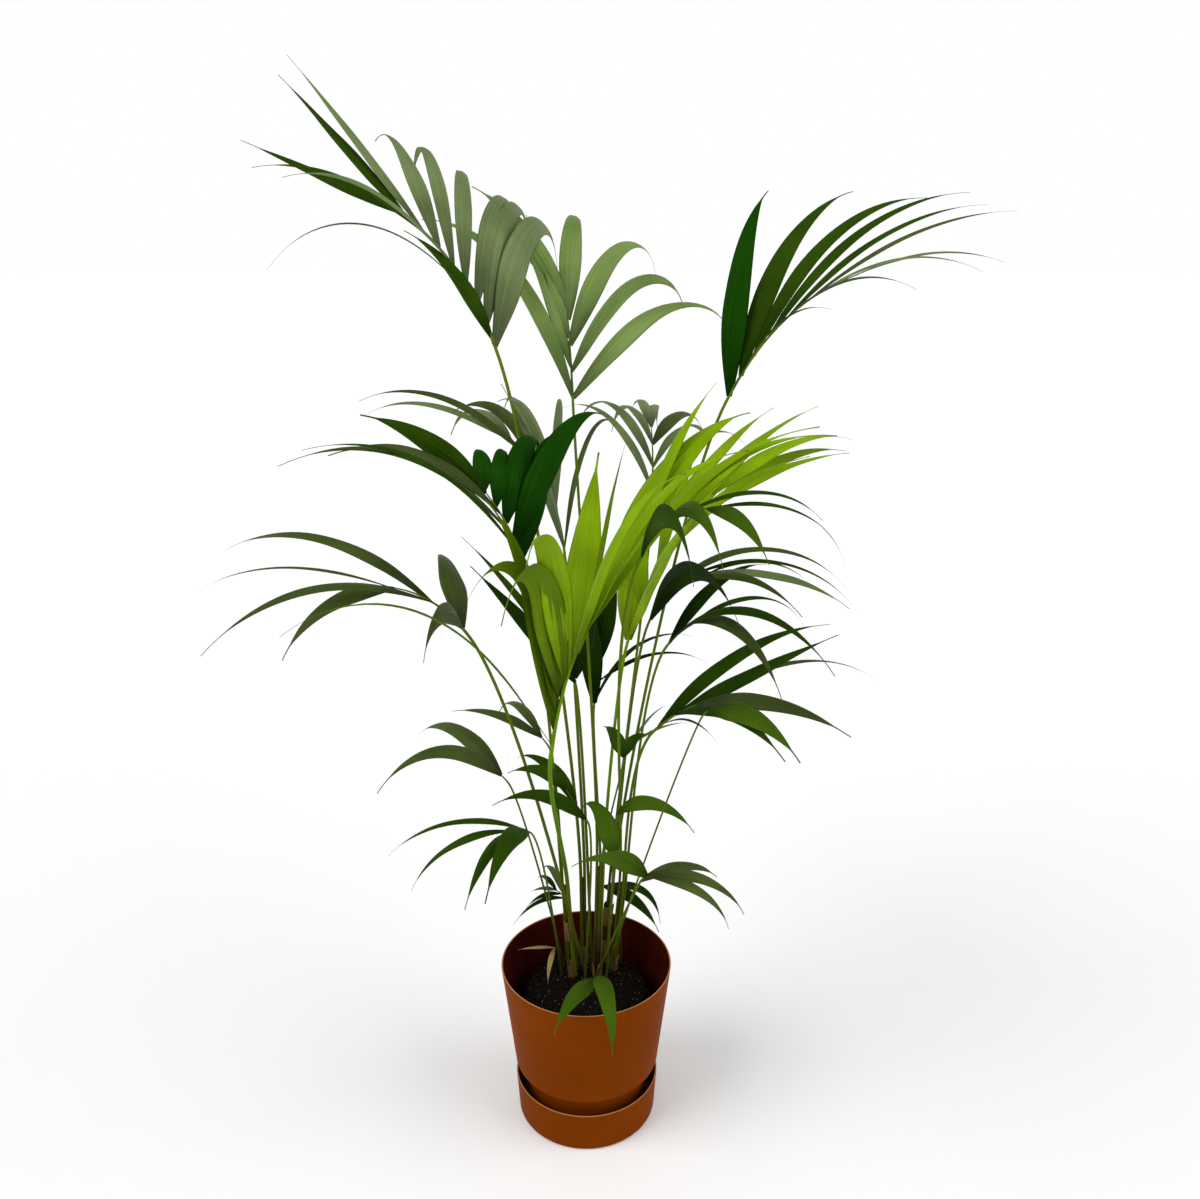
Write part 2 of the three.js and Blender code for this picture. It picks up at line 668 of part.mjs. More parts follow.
function saucer() {
  const round = SAUCER_FOOT_ROUND;
  const outside = [
    [0, 0],
    ...arc(SAUCER_BASE_RADIUS - round, round, round, -90, 0),
    [SAUCER_RIM_RADIUS, SAUCER_HEIGHT - LIP_HEIGHT],
    [SAUCER_RIM_RADIUS - SAUCER_WALL / 2, SAUCER_HEIGHT],
  ];
  const inside = [
    [SAUCER_RIM_RADIUS - SAUCER_WALL, SAUCER_HEIGHT - LIP_HEIGHT],
    [SAUCER_BASE_RADIUS - SAUCER_WALL, SAUCER_FLOOR],
    [0, SAUCER_FLOOR],
  ];
  return solidFrom(turned([...outside, ...inside], POT_SIDES));
}

function rootBall() {
  const foot = SAUCER_FLOOR + POT_FLOOR + 2 * CLEARANCE;
  const outline = [
    [0, foot],
    [SOIL_FOOT_RADIUS, foot],
    [SOIL_RADIUS, SOIL_HEIGHT - SOIL_EDGE],
    [SOIL_RADIUS - SOIL_EDGE, SOIL_HEIGHT],
    [0, SOIL_HEIGHT],
  ];
  return solidFrom(turned(outline, SOIL_SIDES));
}

place("pot_body", potBody(), "pot");
place("pot_saucer", saucer(), "pot");
place("root_ball", rootBall(), "soil");

// ---------------------------------------------------------------- stems

const LEVEL_UP = vec(0, 0, 1);
const SOIL_SURFACE = SOIL_HEIGHT + CLEARANCE;

for (const [key, stem] of Object.entries(STEMS)) {
  const foot = vec(...stem.foot, SOIL_SURFACE);
  const top = vec(...stem.top);
  const points = [];
  const radii = [];
  for (let i = 0; i < STEM_RINGS; i++) {
    const t = i / (STEM_RINGS - 1);
    points.push(foot.clone().lerp(top, t));
    radii.push(lerp(stem.radius[0], stem.radius[1], Math.sqrt(t)));
  }
  stem.axis = top.clone().sub(foot).normalize();
  stem.solid = solidFrom(limb(points, radii, STEM_SIDES, LEVEL_UP));
  place(`stem_${key}`, stem.solid, "stem");
}

// ---------------------------------------------------------------- petioles and stalks

/** Gives a frond its place on its stem's top: on a ring, at the heading that its seat names. */
function seatOnStem(frond) {
  const stem = STEMS[frond.stem];
  const out = direction(frond.seat, 0).projectOnPlane(stem.axis).normalize();
  frond.start = vec(...stem.top)
    .addScaledVector(stem.axis, CLEARANCE)
    .addScaledVector(out, PETIOLE_RING_RADIUS);
  frond.leaves = stem.axis;
  frond.seatFacing = stem.axis;
}

/** Gives a frond that has no stem its place on the soil. */
function seatOnSoil(frond) {
  frond.start = vec(...frond.foot, SOIL_SURFACE);
  frond.leaves = vec(...frond.base).sub(frond.start).normalize().lerp(LEVEL_UP, STALK_UPRIGHT);
  frond.seatFacing = LEVEL_UP;
}

for (const frond of [...LARGE_FRONDS, ...SMALL_LEAVES]) {
  if (frond.stem) seatOnStem(frond);
  else seatOnSoil(frond);
}

/** The stalk's curve: from its start, in the stem's direction, into the rib's own direction. */
function stalkPoints(frond, gap, straightness) {
  const ahead = direction(...ribAngles(frond, 0));
  const end = vec(...frond.base).addScaledVector(ahead, -gap);
  const reach = end.distanceTo(frond.start);
  const curve = new THREE.CubicBezierCurve3(
    frond.start,
    frond.start.clone().addScaledVector(frond.leaves, reach * PETIOLE_START),
    end.clone().addScaledVector(ahead, -reach * straightness),
    end,
  );
  return curve.getPoints(PETIOLE_STEPS);
}

/** Radii of a limb with so many points, from one radius to another. */
const taper = (count, from, to) => (
  Array.from({ length: count }, (_, i) => lerp(from, to, i / (count - 1)))
);

for (const frond of LARGE_FRONDS) {
  const points = stalkPoints(frond, CLEARANCE, PETIOLE_END);
  const radii = taper(points.length, frond.thick, frond.thick * PETIOLE_TAPER);
  const ahead = direction(...ribAngles(frond, 0));
  const geometry = limb(points, radii, PETIOLE_SIDES, frond.seatFacing, ahead);
  place(`petiole_${frond.name}`, solidFrom(geometry), "petiole");
}

// ---------------------------------------------------------------- blades

/**
 * A leaflet's width at share s of its length, as a share of its widest. Past the end of the blade
 * only a thread is left.
 */
function leafletWidth(s) {
  if (s < LEAFLET_WIDEST) {
    const swell = Math.sin((Math.PI / 2) * (s / LEAFLET_WIDEST));
    return lerp(LEAFLET_ROOT_WIDTH, 1, swell);
  }
  const past = Math.min((s - LEAFLET_WIDEST) / (LEAFLET_BLADE_END - LEAFLET_WIDEST), 1);
  return lerp(1, LEAFLET_THREAD, past ** LEAFLET_TIP_POWER);
}

/** One leaflet, at share q of its row, as a thin ridged blade that bends down along its length. */
function leaflet(frond, points, row, side, q, turn) {
  const station = ribStation(frond, points, spread(row.span, q));
  const splay = radians(spread(row.splay, q) + turn);
  const lift = radians(spread(row.lift, q) + turn);
  const droop = spread(row.droop, q);
  const size = spread(row.size, q);
  const out = station.ahead.clone().multiplyScalar(Math.cos(splay))
    .addScaledVector(station.left, side * Math.sin(splay) * Math.cos(lift))
    .addScaledVector(station.face, Math.sin(splay) * Math.sin(lift));
  const heading = THREE.MathUtils.radToDeg(Math.atan2(out.y, out.x));
  const rise = THREE.MathUtils.radToDeg(Math.asin(THREE.MathUtils.clamp(out.z, -1, 1)));
  const twist = radians(spread(row.twist, q));
  const width = spread(row.width, q);
  const across = station.face.clone().cross(out).normalize().applyAxisAngle(out, twist);

  const spine = [station.point];
  const ways = [out];
  for (let i = 0; i < LEAFLET_STEPS; i++) {
    const bent = rise - droop * ((i + 0.5) / LEAFLET_STEPS) ** row.bend;
    const way = direction(heading, Math.max(bent, -LEAFLET_STEEPEST));
    spine.push(spine[i].clone().addScaledVector(way, size / LEAFLET_STEPS));
    ways.push(way);
  }

  const thickness = Math.max(size * LEAF_THICKNESS_SHARE, LEAF_THINNEST);
  const rings = LEAFLET_RINGS.map((i) => {
    if (i === LEAFLET_STEPS) return [spine[i]];
    const s = i / LEAFLET_STEPS;
    const bend = new THREE.Quaternion().setFromUnitVectors(out, ways[i]);
    const flat = across.clone().applyQuaternion(bend);
    const top = ways[i].clone().cross(flat);
    const half = (leafletWidth(s) * width) / 2;
    return [
      spine[i].clone().addScaledVector(flat, half),
      spine[i].clone().addScaledVector(top, thickness),
      spine[i].clone().addScaledVector(flat, -half),
    ];
  });
  return solidFrom(loft(rings));
}

/** The leaflet turned until it clears its neighbours, or nothing where none of the turns does. */
function clearLeaflet(frond, points, row, side, q) {
  for (const turn of TURNS) {
    const solid = leaflet(frond, points, row, side, q, turn);
    if (isClear(solid)) return solid;
  }
  return null;
}

/** A rib, carried on from the stalk's points where it has any, with its leaflets fused on. */
function blade(frond, stalk, stepsPerRing) {
  const points = ribPoints(frond);
  const rib = points.filter((_, i) => i % stepsPerRing === 0);
  const bladeRadius = frond.thick * PETIOLE_TAPER;
  const radii = taper(rib.length, bladeRadius, RIB_END_RADIUS);
  if (stalk.length) {
    rib.unshift(...stalk.slice(0, -1));
    radii.unshift(...taper(stalk.length, frond.thick, bladeRadius).slice(0, -1));
  }
  const facing = stalk.length ? frond.seatFacing : direction(...ribAngles(frond, 0));
  let solid = solidFrom(limb(rib, radii, RIB_SIDES, facing));
  for (const [row, side] of [[frond.left, 1], [frond.right, -1]]) {
    for (let i = 0; i < row.count; i++) {
      const q = row.count > 1 ? i / (row.count - 1) : 0;
      const next = clearLeaflet(frond, points, row, side, q);
      if (next) solid = solid.add(next);
    }
  }
  return solid;
}

for (const frond of LARGE_FRONDS) {
  const material = frond.name.startsWith("young") ? "young" : "mature";
  place(`frond_${frond.name}`, blade(frond, [], RIB_STEPS_PER_RING), material);
}

for (const frond of SMALL_LEAVES) {
  const stalk = stalkPoints(frond, 0, STALK_END);
  place(frond.name, blade(frond, stalk, SMALL_RIB_STEPS_PER_RING), "mature");
}

// ---------------------------------------------------------------- withered leaf

// A dry leaf hangs from the left stem: two strips that droop over the soil. It is built beside
// the stem and moved along its heading until only the clearance is left.
const WITHERED = {
  name: "withered_leaf", thick: 1.6,
  base: [-30.5, 24.4, 250], heading: 215, rise: 20, length: 20, arch: 20, sweep: 0, roll: 0,
  left: {
    count: 1, span: [0.9, 0.9], bend: 0.8, splay: [38], lift: [0], droop: [95], size: [56],
    twist: [0], width: [8],
  },
  right: {
    count: 1, span: [0.9, 0.9], bend: 1, splay: [40], lift: [0], droop: [20], size: [56],
    twist: [0], width: [8],
  },
};

const withered = blade(WITHERED, [], SMALL_RIB_STEPS_PER_RING);
const spare = withered.minGap(STEMS.a.solid, WITHERED.length) - CLEARANCE;
const towardsStem = direction(WITHERED.heading, 0).multiplyScalar(-spare);
place(WITHERED.name, withered.translate(towardsStem.toArray()), "withered");

export default palm;
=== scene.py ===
"""Looks of the potted kentia palm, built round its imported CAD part: metres, +Z up.

Named sizes are in millimetres and angles in degrees, where no comment says otherwise.
"""

import math
import random

import bmesh
import bpy
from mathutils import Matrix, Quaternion, Vector, noise


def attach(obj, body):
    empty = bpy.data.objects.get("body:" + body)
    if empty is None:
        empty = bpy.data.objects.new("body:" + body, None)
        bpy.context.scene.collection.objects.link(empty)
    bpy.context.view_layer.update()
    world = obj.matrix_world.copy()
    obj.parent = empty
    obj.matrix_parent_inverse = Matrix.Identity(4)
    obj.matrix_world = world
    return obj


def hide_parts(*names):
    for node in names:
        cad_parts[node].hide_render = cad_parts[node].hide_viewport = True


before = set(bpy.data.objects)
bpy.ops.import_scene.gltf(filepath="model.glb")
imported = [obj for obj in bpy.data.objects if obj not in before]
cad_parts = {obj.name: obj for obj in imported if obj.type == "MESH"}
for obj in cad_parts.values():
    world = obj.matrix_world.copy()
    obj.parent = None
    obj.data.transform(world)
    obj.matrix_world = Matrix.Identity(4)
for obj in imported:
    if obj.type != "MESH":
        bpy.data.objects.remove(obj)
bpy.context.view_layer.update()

# ------------------------------------------------------------------------------------ pot
# A tapering planter, injection-moulded in one piece of rust-brown polypropylene. Its skin is
# satin and even, its lip is thin and rounded. It narrows to a foot that stands in the saucer,
# which leaves an open shadow gap.

MM = 0.001
POT_SIDES = 144
POT_RIM_RADIUS = 120
POT_HEIGHT = 244
POT_WALL = 2.2
POT_LIP_RADIUS = 1.1
POT_SKIRT_RADIUS = 103
POT_SKIRT_HEIGHT = 82
POT_SKIRT_ROUND = 9
POT_FOOT_RADIUS = 86
POT_FOOT_HEIGHT = 3.3
POT_FOOT_ROUND = 1
POT_FLOOR = 3
WALL_STEPS = 24


def arc(centre_radius, centre_height, radius, start, end, steps=8):
    """Points of an arc between two angles in degrees, as (radius, height)."""
    angles = [math.radians(start + (end - start) * i / steps) for i in range(steps + 1)]
    return [(centre_radius + radius * math.cos(a), centre_height + radius * math.sin(a))
            for a in angles]


def straight(start, end, steps):
    """Points from one (radius, height) point towards another, which is left out."""
    return [(start[0] + (end[0] - start[0]) * i / steps, start[1] + (end[1] - start[1]) * i / steps)
            for i in range(steps)]


def new_object(name, mesh):
    """An object at the origin that holds a mesh."""
    piece = bpy.data.objects.new(name, mesh)
    bpy.context.scene.collection.objects.link(piece)
    return piece


def turned(name, outline, sides):
    """A closed piece turned about Z, from an outline in millimetres that starts and ends on Z."""
    rings = [[(r * MM, z * MM)] if r == 0 else [(r * MM, z * MM)] * sides for r, z in outline]
    points = []
    starts = []
    for ring in rings:
        starts.append(len(points))
        for i, (r, z) in enumerate(ring):
            angle = 2 * math.pi * i / sides
            points.append((r * math.cos(angle), r * math.sin(angle), z))
    faces = []
    for k in range(len(rings) - 1):
        low, high = starts[k], starts[k + 1]
        for i in range(sides):
            j = (i + 1) % sides
            if len(rings[k]) == 1:
                faces.append((low, high + j, high + i))
            elif len(rings[k + 1]) == 1:
                faces.append((low + i, low + j, high))
            else:
                faces.append((low + i, low + j, high + j, high + i))
    mesh = bpy.data.meshes.new(name)
    mesh.from_pydata(points, [], faces)
    mesh.shade_smooth()
    return new_object(name, mesh)


def linear(code):
    """An sRGB hex colour as linear red, green, blue and alpha."""
    shares = [int(code[i:i + 2], 16) / 255 for i in (1, 3, 5)]
    return [s / 12.92 if s <= 0.04045 else ((s + 0.055) / 1.055) ** 2.4 for s in shares] + [1]


def add_node(tree, kind, inputs=None, **settings):
    """Adds a node with its settings. Inputs are sockets to link or values, by name or index."""
    node = tree.nodes.new(kind)
    for key, value in settings.items():
        setattr(node, key, value)
    for key, value in (inputs or {}).items():
        if isinstance(value, bpy.types.NodeSocket):
            tree.links.new(value, node.inputs[key])
        else:
            node.inputs[key].default_value = value
    return node


def new_material(name):
    """An empty material and its node tree."""
    material = bpy.data.materials.new(name)
    material.use_nodes = True
    material.node_tree.nodes.clear()
    return material, material.node_tree


def finish_material(tree, finish):
    """Ends a material: its surface, with the finish that the shader's inputs give."""
    surface = add_node(tree, "ShaderNodeBsdfPrincipled", finish)
    add_node(tree, "ShaderNodeOutputMaterial", {"Surface": surface.outputs["BSDF"]})


def set_ramp(ramp, stops):
    """Gives a colour ramp its stops, as (place, hex colour)."""
    elements = ramp.color_ramp.elements
    while len(elements) < len(stops):
        elements.new(0.5)
    for element, (place, code) in zip(elements, stops):
        element.position = place
        element.color = linear(code)


def moulded_polypropylene():
    """Satin polypropylene: even, with patches of 11 cm a shade apart, and painted highlight on its
    lips.
    Its faint grain is drawn 0.8 mm coarse so that it shows."""
    material, tree = new_material("moulded_polypropylene")
    place = add_node(tree, "ShaderNodeTexCoord").outputs["Object"]
    cloud = add_node(tree, "ShaderNodeTexNoise",
                     {"Vector": place, "Scale": 1 / (111 * MM), "Detail": 3.0})
    tone = add_node(tree, "ShaderNodeValToRGB", {"Fac": cloud.outputs["Fac"]})
    set_ramp(tone, [(0.3, "#6c2f00"), (0.7, "#763500")])
    # Painted highlight: faces that point up, as on the lips, are mixed towards a pale tan.
    facing = add_node(tree, "ShaderNodeSeparateXYZ",
                      {0: add_node(tree, "ShaderNodeNewGeometry").outputs["Normal"]})
    lip_highlight = add_node(tree, "ShaderNodeMapRange",
                      {"Value": facing.outputs["Z"], "From Min": 0.35, "From Max": 0.8})
    skin = add_node(tree, "ShaderNodeMix",
                    {"Factor": lip_highlight.outputs["Result"], "A": tone.outputs["Color"],
                     "B": linear("#b27a4c")}, data_type="RGBA")
    grain = add_node(tree, "ShaderNodeTexNoise", {"Vector": place, "Scale": 1 / (0.8 * MM)})
    gloss = add_node(tree, "ShaderNodeMapRange",
                     {"Value": cloud.outputs["Fac"], "To Min": 0.38, "To Max": 0.5})
    relief = add_node(tree, "ShaderNodeBump",
                      {"Height": grain.outputs["Fac"], "Strength": 0.12, "Distance": 0.05 * MM})
    finish_material(tree, {
        "Base Color": skin.outputs["Result"], "Roughness": gloss.outputs["Result"],
        "Specular IOR Level": 0.01, "Normal": relief.outputs["Normal"]})
    return material


def shaded_inside():
    """The planter's inner wall: the same plastic, dull and darkened by painted shade, with a
    tone that varies in patches of 25 mm."""
    material, tree = new_material("peat_stained_polypropylene")
    place = add_node(tree, "ShaderNodeTexCoord").outputs["Object"]
    cloud = add_node(tree, "ShaderNodeTexNoise",
                     {"Vector": place, "Scale": 1 / (25 * MM), "Detail": 4.0})
    tone = add_node(tree, "ShaderNodeValToRGB", {"Fac": cloud.outputs["Fac"]})
    set_ramp(tone, [(0.35, "#340903"), (0.7, "#451005")])
    finish_material(tree, {
        "Base Color": tone.outputs["Color"], "Roughness": 0.7, "Specular IOR Level": 0.05})
    return material


POT_PLASTIC = moulded_polypropylene()

lip_foot = POT_HEIGHT - POT_LIP_RADIUS
skirt_turn = POT_SKIRT_HEIGHT + POT_SKIRT_ROUND
pot_inside = POT_SKIRT_RADIUS - POT_WALL
foot_inside = POT_FOOT_RADIUS - POT_WALL
foot_low = POT_FOOT_HEIGHT + POT_FOOT_ROUND
foot_high = POT_SKIRT_HEIGHT - POT_FOOT_ROUND
floor_top = POT_FOOT_HEIGHT + POT_FLOOR
pot_outline = [
    (0, POT_FOOT_HEIGHT),
    *straight((POT_FOOT_RADIUS - POT_FOOT_ROUND, POT_FOOT_HEIGHT),
              (POT_FOOT_RADIUS, foot_low), steps=2),
    *straight((POT_FOOT_RADIUS, foot_low), (POT_FOOT_RADIUS, foot_high), steps=6),
    *arc(POT_FOOT_RADIUS + POT_FOOT_ROUND, foot_high, POT_FOOT_ROUND, 180, 90, steps=3),
    *arc(POT_SKIRT_RADIUS - POT_SKIRT_ROUND, skirt_turn, POT_SKIRT_ROUND, -90, 0),
    *straight((POT_SKIRT_RADIUS, skirt_turn), (POT_RIM_RADIUS, lip_foot), WALL_STEPS)[1:],
    *arc(POT_RIM_RADIUS - POT_LIP_RADIUS, lip_foot, POT_LIP_RADIUS, 0, 180),
    *straight((POT_RIM_RADIUS - POT_WALL, lip_foot), (pot_inside, skirt_turn), WALL_STEPS)[1:],
    *straight((pot_inside, skirt_turn), (foot_inside, POT_SKIRT_HEIGHT + POT_WALL), steps=4),
    (foot_inside, POT_SKIRT_HEIGHT + POT_WALL),
    (foot_inside, floor_top + POT_FOOT_ROUND),
    (foot_inside - POT_FOOT_ROUND, floor_top),
    (0, floor_top),
]
pot = turned("pot", pot_outline, POT_SIDES)
pot.data.materials.append(POT_PLASTIC)
pot.data.materials.append(shaded_inside())
# Painted shade: the inner wall below the lip takes the dark material.
for face in pot.data.polygons:
    if face.normal.xy.dot(face.center.xy) < 0 and face.center.z < lip_foot * MM:
        face.material_index = 1
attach(pot, "root")
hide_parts("pot_body")

# ------------------------------------------------------------------------------------ saucer
# The pot stands loose in it. It is moulded from the same polypropylene, with a nearly upright
# wall that is a little thicker than the pot's, and a rounded foot.

SAUCER_BASE_RADIUS = 99
SAUCER_RIM_RADIUS = 102.5
SAUCER_HEIGHT = 62
SAUCER_WALL = 2.4
SAUCER_LIP_RADIUS = 1.2
SAUCER_FLOOR = 3
SAUCER_FOOT_ROUND = 5
SAUCER_CORNER_ROUND = 2

saucer_lip_foot = SAUCER_HEIGHT - SAUCER_LIP_RADIUS
saucer_inside = SAUCER_BASE_RADIUS - SAUCER_WALL
saucer_corner = SAUCER_FLOOR + SAUCER_CORNER_ROUND
saucer_outline = [
    (0, 0),
    *arc(SAUCER_BASE_RADIUS - SAUCER_FOOT_ROUND, SAUCER_FOOT_ROUND, SAUCER_FOOT_ROUND, -90, 0),
    *straight((SAUCER_BASE_RADIUS, SAUCER_FOOT_ROUND), (SAUCER_RIM_RADIUS, saucer_lip_foot),
              steps=8)[1:],
    *arc(SAUCER_RIM_RADIUS - SAUCER_LIP_RADIUS, saucer_lip_foot, SAUCER_LIP_RADIUS, 0, 180),
    *straight((SAUCER_RIM_RADIUS - SAUCER_WALL, saucer_lip_foot), (saucer_inside, saucer_corner),
              steps=8)[1:],
    *arc(saucer_inside - SAUCER_CORNER_ROUND, saucer_corner, SAUCER_CORNER_ROUND, 0, -90, steps=4),
    (0, SAUCER_FLOOR),
]
saucer = turned("saucer", saucer_outline, POT_SIDES)
saucer.data.materials.append(POT_PLASTIC)
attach(saucer, "root")
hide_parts("pot_saucer")

# ------------------------------------------------------------------------------------ root ball
# A plug of dark, moist peat compost that kept the round of the palm's nursery pot, so a dark
# gap runs round it. Its top is loose crumbs with pale grit and shreds of bark.

SOIL_HEIGHT = 196
SOIL_RADIUS = 87
SOIL_FOOT_RADIUS = 80
SOIL_SIDES = 120
SOIL_EDGE = 6
SOIL_FOOT_HEIGHT = 6.6
SOIL_FOOT_ROUND = 2
# The innermost ring of its top.
SOIL_CENTRE = 2
# Its lumps: how high and how wide they are, and the height where they begin.
SOIL_LUMP = 2.4
SOIL_LUMP_SPAN = 14
SOIL_LUMPS_FROM = 7.6
FULL_TURN = 6.28


def compost(name, dark, pale, grit):
    """Moist compost: near-black brown with paler crumbs of 2 to 4 mm, and fully matt."""
    material, tree = new_material(name)
    place = add_node(tree, "ShaderNodeTexCoord").outputs["Object"]
    crumbs = add_node(tree, "ShaderNodeTexVoronoi", {"Vector": place, "Scale": 1 / (grit * MM)})
    fibres = add_node(tree, "ShaderNodeTexNoise",
                      {"Vector": place, "Scale": 1 / (grit * MM), "Detail": 6.0})
    tone = add_node(tree, "ShaderNodeValToRGB", {"Fac": fibres.outputs["Fac"]})
    set_ramp(tone, [(0.42, dark), (0.78, pale)])
    relief = add_node(tree, "ShaderNodeBump",
                      {"Height": crumbs.outputs["Distance"], "Strength": 0.8, "Distance": MM})
    finish_material(tree, {
        "Base Color": tone.outputs["Color"], "Roughness": 0.92, "Specular IOR Level": 0.1,
        "Normal": relief.outputs["Normal"]})
    return material


soil_outline = [
    (0, SOIL_FOOT_HEIGHT),
    (SOIL_FOOT_RADIUS - SOIL_FOOT_ROUND, SOIL_FOOT_HEIGHT),
    *straight((SOIL_FOOT_RADIUS, SOIL_FOOT_HEIGHT + SOIL_FOOT_ROUND),
              (SOIL_RADIUS, SOIL_HEIGHT - SOIL_EDGE), steps=40),
    *arc(SOIL_RADIUS - SOIL_EDGE, SOIL_HEIGHT - SOIL_EDGE, SOIL_EDGE, 0, 90, steps=5),
    *straight((SOIL_RADIUS - SOIL_EDGE, SOIL_HEIGHT), (SOIL_CENTRE, SOIL_HEIGHT), steps=38)[1:],
    (0, SOIL_HEIGHT),
]
soil = turned("soil", soil_outline, SOIL_SIDES)
for vertex in soil.data.vertices:
    if vertex.co.z > SOIL_LUMPS_FROM * MM:
        lump = noise.fractal(vertex.co / (SOIL_LUMP_SPAN * MM), 1.0, 2.0, 4)
        vertex.co += vertex.normal * lump * SOIL_LUMP * MM
soil.data.materials.append(compost("moist_peat_compost", "#070403", "#20140d", 2.5))


def group_tree(name, sockets):
    """A geometry node tree with its inputs: their names, and each one's socket type."""
    tree = bpy.data.node_groups.new(name, "GeometryNodeTree")
    for title, kind in [("Geometry", "NodeSocketGeometry"), *sockets]:
        tree.interface.new_socket(title, in_out="INPUT", socket_type=kind)
    tree.interface.new_socket("Geometry", in_out="OUTPUT", socket_type="NodeSocketGeometry")
    given = add_node(tree, "NodeGroupInput").outputs
    return tree, given


def finish_tree(tree, geometry, material):
    """Ends a tree: its instances made real, with one material."""
    real = add_node(tree, "GeometryNodeRealizeInstances", {"Geometry": geometry})
    painted = add_node(tree, "GeometryNodeSetMaterial",
                       {"Geometry": real.outputs[0], "Material": material})
    add_node(tree, "NodeGroupOutput", {"Geometry": painted.outputs[0]})


def run_tree(name, mesh, tree, **values):
    """A plain piece made by a tree from a mesh, with the tree's inputs by name."""
    source = new_object(name + "_source", mesh)
    modifier = source.modifiers.new("nodes", "NODES")
    modifier.node_group = tree
    for item in tree.interface.items_tree:
        title = item.name.lower().replace(" ", "_")
        if item.in_out == "INPUT" and title in values:
            modifier[item.identifier] = values[title]
    evaluated = source.evaluated_get(bpy.context.evaluated_depsgraph_get())
    made = bpy.data.meshes.new_from_object(evaluated)
    made.name = name
    bpy.data.objects.remove(source)
    return new_object(name, made)


def crumb_tree():
    """Strews lumps over the upward faces of a mesh, each of its own size, turn and stretch."""
    tree, given = group_tree("crumbs", [
        ("Density", "NodeSocketFloat"), ("Smallest", "NodeSocketVector"),
        ("Largest", "NodeSocketVector"), ("Seed", "NodeSocketInt"),
        ("Material", "NodeSocketMaterial")])
    facing = add_node(tree, "ShaderNodeSeparateXYZ",
                      {0: add_node(tree, "GeometryNodeInputNormal").outputs["Normal"]})
    upward = add_node(tree, "FunctionNodeCompare", {"A": facing.outputs["Z"], "B": 0.5},
                      operation="GREATER_THAN")
    points = add_node(tree, "GeometryNodeDistributePointsOnFaces",
                      {"Mesh": given["Geometry"], "Selection": upward.outputs["Result"],
                       "Density": given["Density"], "Seed": given["Seed"]})
    lump = add_node(tree, "GeometryNodeMeshIcoSphere", {"Radius": 1.0, "Subdivisions": 1})
    turn = add_node(tree, "FunctionNodeRandomValue",
                    {0: (0, 0, 0), 1: (FULL_TURN,) * 3, "Seed": given["Seed"]},
                    data_type="FLOAT_VECTOR")
    size = add_node(tree, "FunctionNodeRandomValue",
                    {0: given["Smallest"], 1: given["Largest"], "Seed": given["Seed"]},
                    data_type="FLOAT_VECTOR")
    strewn = add_node(tree, "GeometryNodeInstanceOnPoints",
                      {"Points": points.outputs["Points"], "Instance": lump.outputs["Mesh"],
                       "Rotation": turn.outputs[0], "Scale": size.outputs[0]})
    finish_tree(tree, strewn.outputs[0], given["Material"])
    return tree


CRUMBS = crumb_tree()
# Name, number on a square metre, smallest and largest half sizes in millimetres, colours.
STREWN = [
    ("soil_crumbs", 110000, (0.6, 0.6, 0.4), (2.4, 2.0, 1.5), "#0a0605", "#251812"),
    ("soil_bark", 12000, (1.2, 0.4, 0.2), (5.0, 1.2, 0.6), "#1d110a", "#4a3018"),
    ("soil_grit", 14000, (0.3, 0.3, 0.2), (1.1, 0.9, 0.7), "#7d6c55", "#d8ccb4"),
]
for seed, (name, density, smallest, largest, dark, pale) in enumerate(STREWN):
    crumbs = run_tree(name, soil.data.copy(), CRUMBS, density=density,
                      smallest=[s * MM for s in smallest], largest=[s * MM for s in largest],
                      seed=seed, material=compost(name.replace("soil", "compost"), dark, pale, 4))
    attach(crumbs, "root")
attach(soil, "root")
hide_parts("root_ball")

# ------------------------------------------------------------------------------------ stems
# Five slender shoots that grow from one root ball. The stalks of their leaves run down to the
# compost round a short woody core, and what is left of old leaf sheaths still holds them: papery,
# split on one side and torn at the end.

STEMS = {
    "a": dict(foot=(-20, 30), top=(-30, 30, 347)),
    "b": dict(foot=(-4, 58), top=(-5, 55, 343)),
    "c": dict(foot=(15, 30), top=(20, 30, 376)),
    "d": dict(foot=(25, 63), top=(35, 60, 330)),
    "e": dict(foot=(38, 44), top=(50, 45, 316)),
}
STEM_STEPS = 40
STEM_SIDES = 20
SHEATH_SIDES = 22
SHEATH_STEPS = 26
SHEATH_WALL = 0.4
SHEATH_SEED = 7
# Half the width of a sheath's split at its foot, in radians, and what it gains by the end.
SHEATH_GAPE = (0.1, 0.5)
# How far a sheath's end slants and is torn, as shares of its length.
SHEATH_SLANT = 0.16
SHEATH_TEAR = 0.05
# Its wall's wave: a share of its radius, the number of waves round it, and radians along it.
SHEATH_WAVE = 0.03
SHEATH_WAVES_ROUND = 3
SHEATH_WAVES_ALONG = 9
# How narrow the groove along a stalk is: a higher power is narrower.
GROOVE_POWER = 4.0
# How deep stems and stalks go into the compost.
ROOT_DEPTH = 4
# Radius of each shoot's core at its foot, and the share of it that is lost by the top. The
# third one's is an old cane, bare and thick.
CORE_TAPER = 0.25
CORES = {"a": 3.0, "b": 3.0, "c": 5.6, "d": 3.4, "e": 3.2}
